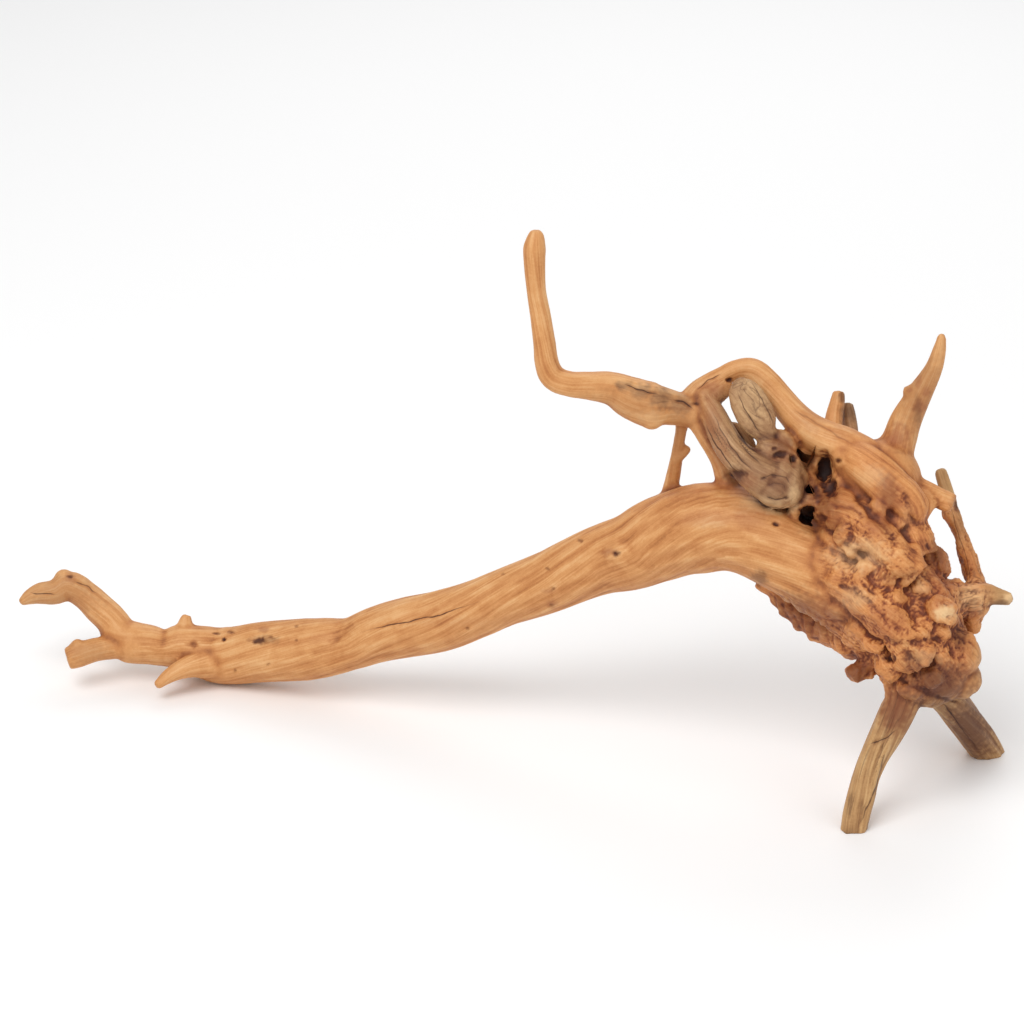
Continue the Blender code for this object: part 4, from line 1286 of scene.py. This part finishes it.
def join_patches(group, pairs):
    """Gives each small patch that the seams cut loose to the length it borders most."""
    sizes = np.bincount(group)
    while True:
        sides = group[pairs]
        parted = sides[:, 0] != sides[:, 1]
        small = (sizes[sides] < SMALLEST_LENGTH) & parted[:, None]
        if not small.any():
            return
        patch = sides[small][0]
        touching = parted & (sides == patch).any(axis=1)
        neighbour = np.bincount(sides[touching].sum(axis=1) - patch).argmax()
        group[group == patch] = neighbour
        sizes[neighbour] += sizes[patch]


def cut_at_floor(obj):
    """Cuts flat what lies below the floor, and closes the cut."""
    form = bmesh.new()
    form.from_mesh(obj.data)
    everything = form.verts[:] + form.edges[:] + form.faces[:]
    cut = bmesh.ops.bisect_plane(
        form, geom=everything, plane_co=(0, 0, 0), plane_no=(0, 0, -1), clear_outer=True,
    )
    rim = [item for item in cut["geom_cut"] if isinstance(item, bmesh.types.BMEdge)]
    bmesh.ops.holes_fill(form, edges=rim, sides=0)
    form.to_mesh(obj.data)
    form.free()


def split_at_seams(obj):
    """The skin's lengths as separate objects."""
    keep(obj.data, "smooth_normal", normals_of(obj.data))
    seams = seam_edges(obj.data)
    form = bmesh.new()
    form.from_mesh(obj.data)
    form.edges.ensure_lookup_table()
    bmesh.ops.split_edges(form, edges=[form.edges[k] for k in seams])
    form.to_mesh(obj.data)
    form.free()
    for other in bpy.context.selected_objects:
        other.select_set(False)
    bpy.context.view_layer.objects.active = obj
    obj.select_set(True)
    bpy.ops.mesh.separate(type="LOOSE")
    return list(bpy.context.selected_objects)


def name_lengths(lengths):
    """Finds each node's own length of skin by the point drawn inside it, and drops loose specks."""
    specks = [length for length in lengths if len(length.data.polygons) < SMALLEST_LENGTH]
    clouds = {length: points_of(length.data) for length in lengths if length not in specks}
    bpy.data.batch_remove(specks)
    named = {}
    for name, spot in INSIDE.items():
        target = np.array(place(spot)) / MM
        nearest = min(clouds, key=lambda item: np.linalg.norm(clouds[item] - target, axis=1).min())
        if nearest in named.values():
            raise ValueError(f"the skin isn't parted at {name}")
        named[name] = nearest
    return named


def close_ends(mesh):
    """Closes the open ends at the forks, each a little below the skin so that it can't show."""
    form = bmesh.new()
    form.from_mesh(mesh)
    outward = form.verts.layers.float_vector["smooth_normal"]
    rim = [edge for edge in form.edges if edge.is_boundary]
    inward = {}
    for edge in rim:
        for corner in edge.verts:
            middles = [face.calc_center_median() for face in corner.link_faces]
            inward[corner] = sum(middles, Vector()) / len(middles) - corner.co
    lip = bmesh.ops.extrude_edge_only(form, edges=rim)["geom"]
    inner = [item for item in lip if isinstance(item, bmesh.types.BMVert)]
    for corner in inner:
        outer = next(e.other_vert(corner) for e in corner.link_edges if e.other_vert(corner) in inward)
        corner.co += inward[outer].normalized() * CAP_DEPTH - outer[outward] * CAP_DEPTH
    inner_rim = [item for item in lip if isinstance(item, bmesh.types.BMEdge) and item.is_boundary]
    bmesh.ops.holes_fill(form, edges=inner_rim, sides=0)
    form.to_mesh(mesh)
    form.free()


def shade(mesh):
    """Shades the length with the whole skin's normals, so that no seam shows at a fork."""
    flat = np.empty(len(mesh.vertices) * 3)
    mesh.attributes["smooth_normal"].data.foreach_get("vector", flat)
    mesh.shade_smooth()
    mesh.normals_split_custom_set_from_vertices(flat.reshape(-1, 3))
    mesh.attributes.remove(mesh.attributes["smooth_normal"])


def dress(named, slots, materials):
    """Makes each length a finished piece that stands for its node."""
    for name, length in named.items():
        length.name = name + "_wood"
        length.data.name = length.name
        close_ends(length.data)
        shade(length.data)
        length.data.materials.clear()
        length.data.materials.append(materials[slots[name]])
        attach(length, "root")
        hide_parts(name)


# The materials

# Colours of the four kinds of wood, from the darkest streak to the palest
PEELED_TONES = [
    (0.0, (0.088, 0.023, 0.007)), (0.25, (0.290, 0.096, 0.024)), (0.5, (0.493, 0.196, 0.058)),
    (0.72, (0.625, 0.296, 0.105)), (1.0, (0.757, 0.447, 0.204)),
]
BURL_TONES = [
    (0.0, (0.038, 0.009, 0.005)), (0.25, (0.162, 0.042, 0.014)), (0.48, (0.400, 0.130, 0.036)),
    (0.72, (0.605, 0.242, 0.073)), (1.0, (0.799, 0.409, 0.158)),
]
WORN_TONES = [
    (0.0, (0.032, 0.011, 0.006)), (0.3, (0.132, 0.054, 0.022)), (0.55, (0.256, 0.121, 0.051)),
    (0.78, (0.384, 0.207, 0.093)), (1.0, (0.528, 0.317, 0.160)),
]
DULL_TONES = [
    (0.0, (0.045, 0.017, 0.007)), (0.28, (0.171, 0.074, 0.025)), (0.52, (0.333, 0.168, 0.063)),
    (0.76, (0.486, 0.273, 0.112)), (1.0, (0.648, 0.421, 0.198)),
]
# Colours of the marks, and how much a dark mark leaves of the colour under it. The dark and red
# ones also paint shade, low on the piece and, for the red, in the hollows; the pale one is partly
# painted highlight
DARKENING = (0.13, 0.075, 0.07)
PALE_TINT = (0.80, 0.53, 0.27, 1.0)
RED_TINT = (0.26, 0.060, 0.020, 1.0)
TAN_MARK = (0.30, 0.125, 0.045, 1.0)

# Noises of the colour: how often they repeat in a millimetre along each axis, detail,
# roughness and distortion. The first two follow the grain
THREADS = ((0.9, 0.9, 0.03), 5.0, 0.65, 0.1)
STRIPES = ((0.25, 0.25, 0.008), 3.0, 0.6, 0.2)
CLOUDS = ((0.05, 0.05, 0.05), 3.0, 0.6, 0.6)
SPECKS = ((0.9, 0.9, 0.9), 4.0, 0.7, 0.0)

# How much each moves the tone from its mean, from 0, the darkest, to 1
MEAN_TONE = 0.56
THREAD_TONE = 0.75
STRIPE_TONE = 0.5
STREAK_TONE = 0.11
CAVITY_SHADE_TONE = -0.55
CLOUD_TONE = 0.55
SPECK_TONE = 0.28

# How strongly the marks show
TAN_STRENGTH = 0.6
RED_STRENGTH = 0.65
PALE_ON_DARK = 0.25
CHECK_SHARPNESS = 8.0
CHECK_STRENGTH = 0.6
CRACK_SHARPNESS = 1.0
CRACK_STRENGTH = 1.5
DARK_STRENGTH = 0.92

# Gloss, which the palest tones have most of, and the finest relief
ROUGHNESS = 0.68
ROUGHNESS_BY_TONE = -0.18
SPECULAR = 0.35
BUMP_STRENGTH = 0.35
BUMP_HEIGHT = 0.0006
SPECK_BUMP = 0.8

# The floor's finish
FLOOR_COLOUR = (0.93, 0.93, 0.93, 1.0)
FLOOR_ROUGHNESS = 0.9


class Shader:
    """Adds nodes to one material; a value may be a socket or a plain number or colour."""

    def __init__(self, name):
        self.material = bpy.data.materials.new(name)
        self.material.use_nodes = True
        self.tree = self.material.node_tree
        self.surface = self.tree.nodes["Principled BSDF"]

    def add(self, kind, **settings):
        node = self.tree.nodes.new(kind)
        for name, value in settings.items():
            setattr(node, name, value)
        return node

    def give(self, socket, value):
        if isinstance(value, bpy.types.NodeSocket):
            self.tree.links.new(value, socket)
        else:
            socket.default_value = value

    def number(self, name):
        return self.add("ShaderNodeAttribute", attribute_name=name).outputs["Fac"]

    def direction(self, name):
        return self.add("ShaderNodeAttribute", attribute_name=name).outputs["Vector"]

    def times(self, first, second, limit=False):
        return self.math("MULTIPLY", first, second, limit)

    def sum(self, *terms):
        """All terms added up."""
        total = terms[0]
        for term in terms[1:]:
            total = self.math("ADD", total, term)
        return total

    def math(self, operation, first, second, limit=False):
        node = self.add("ShaderNodeMath", operation=operation, use_clamp=limit)
        self.give(node.inputs[0], first)
        self.give(node.inputs[1], second)
        return node.outputs[0]

    def scaled(self, vector, scale):
        node = self.add("ShaderNodeVectorMath", operation="MULTIPLY")
        self.give(node.inputs[0], vector)
        self.give(node.inputs[1], scale)
        return node.outputs[0]

    def texture(self, vector, scale, detail, roughness, distortion):
        """Noise about nought, from about -0.5 to 0.5."""
        node = self.add("ShaderNodeTexNoise", noise_dimensions="3D")
        self.give(node.inputs["Vector"], self.scaled(vector, scale))
        node.inputs["Scale"].default_value = 1.0
        node.inputs["Detail"].default_value = detail
        node.inputs["Roughness"].default_value = roughness
        node.inputs["Distortion"].default_value = distortion
        return self.math("SUBTRACT", node.outputs["Fac"], 0.5)

    def ramp(self, value, tones):
        node = self.add("ShaderNodeValToRGB")
        band = node.color_ramp
        while len(band.elements) < len(tones):
            band.elements.new(0.5)
        for element, (position, colour) in zip(band.elements, tones):
            element.position = position
            element.color = (*colour, 1.0)
        self.give(node.inputs["Fac"], value)
        return node.outputs["Color"]

    def line(self, name, sharpness, strength):
        """A thin line of this strength where the named value crosses nought."""
        away = self.math("ABSOLUTE", self.number(name), 0.0)
        near = self.math("SUBTRACT", 1.0, self.times(away, sharpness), limit=True)
        return self.times(near, strength)

    def mix(self, share, first, second):
        node = self.add("ShaderNodeMix", data_type="RGBA")
        self.give(node.inputs[0], share)
        self.give(node.inputs[6], first)
        self.give(node.inputs[7], second)
        return node.outputs[2]


def wood_material(name):
    """Grained wood whose kind, streaks, stains, painted highlights, and the shade painted into its
    hollows and low places are read from the skin.
    """
    shader = Shader(name)
    grain = shader.direction("grain")
    hold = shader.number("hold")
    spot = shader.scaled(shader.add("ShaderNodeTexCoord").outputs["Object"], (1 / MM,) * 3)
    threads = shader.times(shader.times(shader.texture(grain, *THREADS), hold), THREAD_TONE)
    stripes = shader.times(shader.times(shader.texture(grain, *STRIPES), hold), STRIPE_TONE)
    streaks = shader.times(shader.number("streak"), STREAK_TONE)
    # Painted shade: the tone is darker where the skin lies in a hollow
    cavity_shade = shader.times(shader.number("cavity"), CAVITY_SHADE_TONE)
    clouds = shader.times(shader.texture(spot, *CLOUDS), CLOUD_TONE)
    specks = shader.texture(spot, *SPECKS)
    tone = shader.sum(clouds, MEAN_TONE, threads, stripes, streaks, cavity_shade)
    tone = shader.math("ADD", tone, shader.times(specks, SPECK_TONE), limit=True)
    colour = shader.ramp(tone, PEELED_TONES)
    for kind, tones in (("dull", DULL_TONES), ("rough", BURL_TONES), ("worn", WORN_TONES)):
        colour = shader.mix(shader.number(kind), colour, shader.ramp(tone, tones))
    colour = shader.mix(shader.times(shader.number("tan"), TAN_STRENGTH), colour, TAN_MARK)
    # The red tint: the wood's own red stains, and painted shade in the hollows and low on the piece
    colour = shader.mix(shader.times(shader.number("red"), RED_STRENGTH), colour, RED_TINT)
    # The pale tint: partly pale wood, partly painted highlight
    pale = shader.times(shader.number("pale"), shader.sum(tone, PALE_ON_DARK), limit=True)
    colour = shader.mix(pale, colour, PALE_TINT)
    check_strength = shader.times(shader.number("aged"), CHECK_STRENGTH)
    crack_strength = shader.times(shader.number("crack_dark"), CRACK_STRENGTH)
    check = shader.line("check", CHECK_SHARPNESS, check_strength)
    crack = shader.line("crack", CRACK_SHARPNESS, crack_strength)
    lines = shader.math("MAXIMUM", check, crack, limit=True)
    # Dark marks, stains and cracks, with painted shade low on the piece among the dark tints
    dark = shader.math("MAXIMUM", shader.number("dark"), lines)
    dark = shader.times(dark, DARK_STRENGTH, limit=True)
    colour = shader.mix(dark, colour, shader.scaled(colour, DARKENING))
    shader.give(shader.surface.inputs["Base Color"], colour)
    roughness = shader.sum(shader.times(tone, ROUGHNESS_BY_TONE), ROUGHNESS)
    shader.give(shader.surface.inputs["Roughness"], roughness)
    shader.surface.inputs["Specular IOR Level"].default_value = SPECULAR
    height = shader.sum(threads, shader.times(specks, SPECK_BUMP))
    height = shader.math("SUBTRACT", height, lines)
    bump = shader.add("ShaderNodeBump")
    bump.inputs["Strength"].default_value = BUMP_STRENGTH
    bump.inputs["Distance"].default_value = BUMP_HEIGHT
    shader.give(bump.inputs["Height"], height)
    shader.give(shader.surface.inputs["Normal"], bump.outputs["Normal"])
    return shader.material


def plain_material(name, colour, roughness):
    shader = Shader(name)
    shader.surface.inputs["Base Color"].default_value = colour
    shader.surface.inputs["Roughness"].default_value = roughness
    return shader.material


def add_floor():
    form = bmesh.new()
    bmesh.ops.create_grid(form, x_segments=1, y_segments=1, size=FLOOR_SIZE)
    mesh = bpy.data.meshes.new("floor")
    form.to_mesh(mesh)
    form.free()
    floor = add_object("floor", mesh)
    floor.location.z = -FLOOR_GAP
    mesh.materials.append(plain_material("floor", FLOOR_COLOUR, FLOOR_ROUGHNESS))


def add_light(name, spot, aim, size, power):
    light = bpy.data.lights.new(name, "AREA")
    light.size = size
    light.energy = power
    lamp = bpy.data.objects.new(name, light)
    bpy.context.scene.collection.objects.link(lamp)
    lamp.location = spot
    lamp.rotation_euler = (Vector(aim) - Vector(spot)).to_track_quat("-Z", "Y").to_euler()


def add_lights():
    for name, (spot, size, power) in LIGHTS.items():
        add_light(name, spot, LIGHT_AIM, size, power)
    world = bpy.data.worlds.new("studio")
    world.use_nodes = True
    sky = world.node_tree.nodes["Background"]
    sky.inputs["Color"].default_value = (1.0, 1.0, 1.0, 1.0)
    sky.inputs["Strength"].default_value = WORLD_STRENGTH
    bpy.context.scene.world = world
    bpy.context.scene.view_settings.view_transform = "Standard"


def add_camera():
    """The eye that the drawing is made for, square on the drawing's own origin."""
    data = bpy.data.cameras.new("camera")
    data.sensor_width = SENSOR
    data.lens = SENSOR * EYE_DISTANCE / DRAWING_WIDTH
    data.clip_start = NEAREST_SEEN
    data.clip_end = FARTHEST_SEEN
    camera = bpy.data.objects.new("camera", data)
    bpy.context.scene.collection.objects.link(camera)
    axes = Matrix((turn((1, 0, 0)), turn((0, 1, 0)), turn((0, 0, 1)))).transposed()
    eye = (turn((0, 0, EYE_DISTANCE)) + ORIGIN) * MM
    camera.matrix_world = Matrix.Translation(eye) @ axes.to_4x4()
    bpy.context.scene.camera = camera


def main():
    add_camera()
    add_lights()
    add_floor()
    wood = rough_wood()
    fuse(wood, CARVING_GRID, CARVING_ROUNDS)
    carve(wood)
    fuse(wood, SKIN_GRID, SKIN_ROUNDS)
    finish_skin(wood)
    cut_at_floor(wood)
    named = name_lengths(split_at_seams(wood))
    slots = {row["node"]: row["material_slot"] for row in frame["record"]["subparts"]}
    materials = {name: wood_material(name) for name in sorted(set(slots.values()))}
    dress(named, slots, materials)


main()
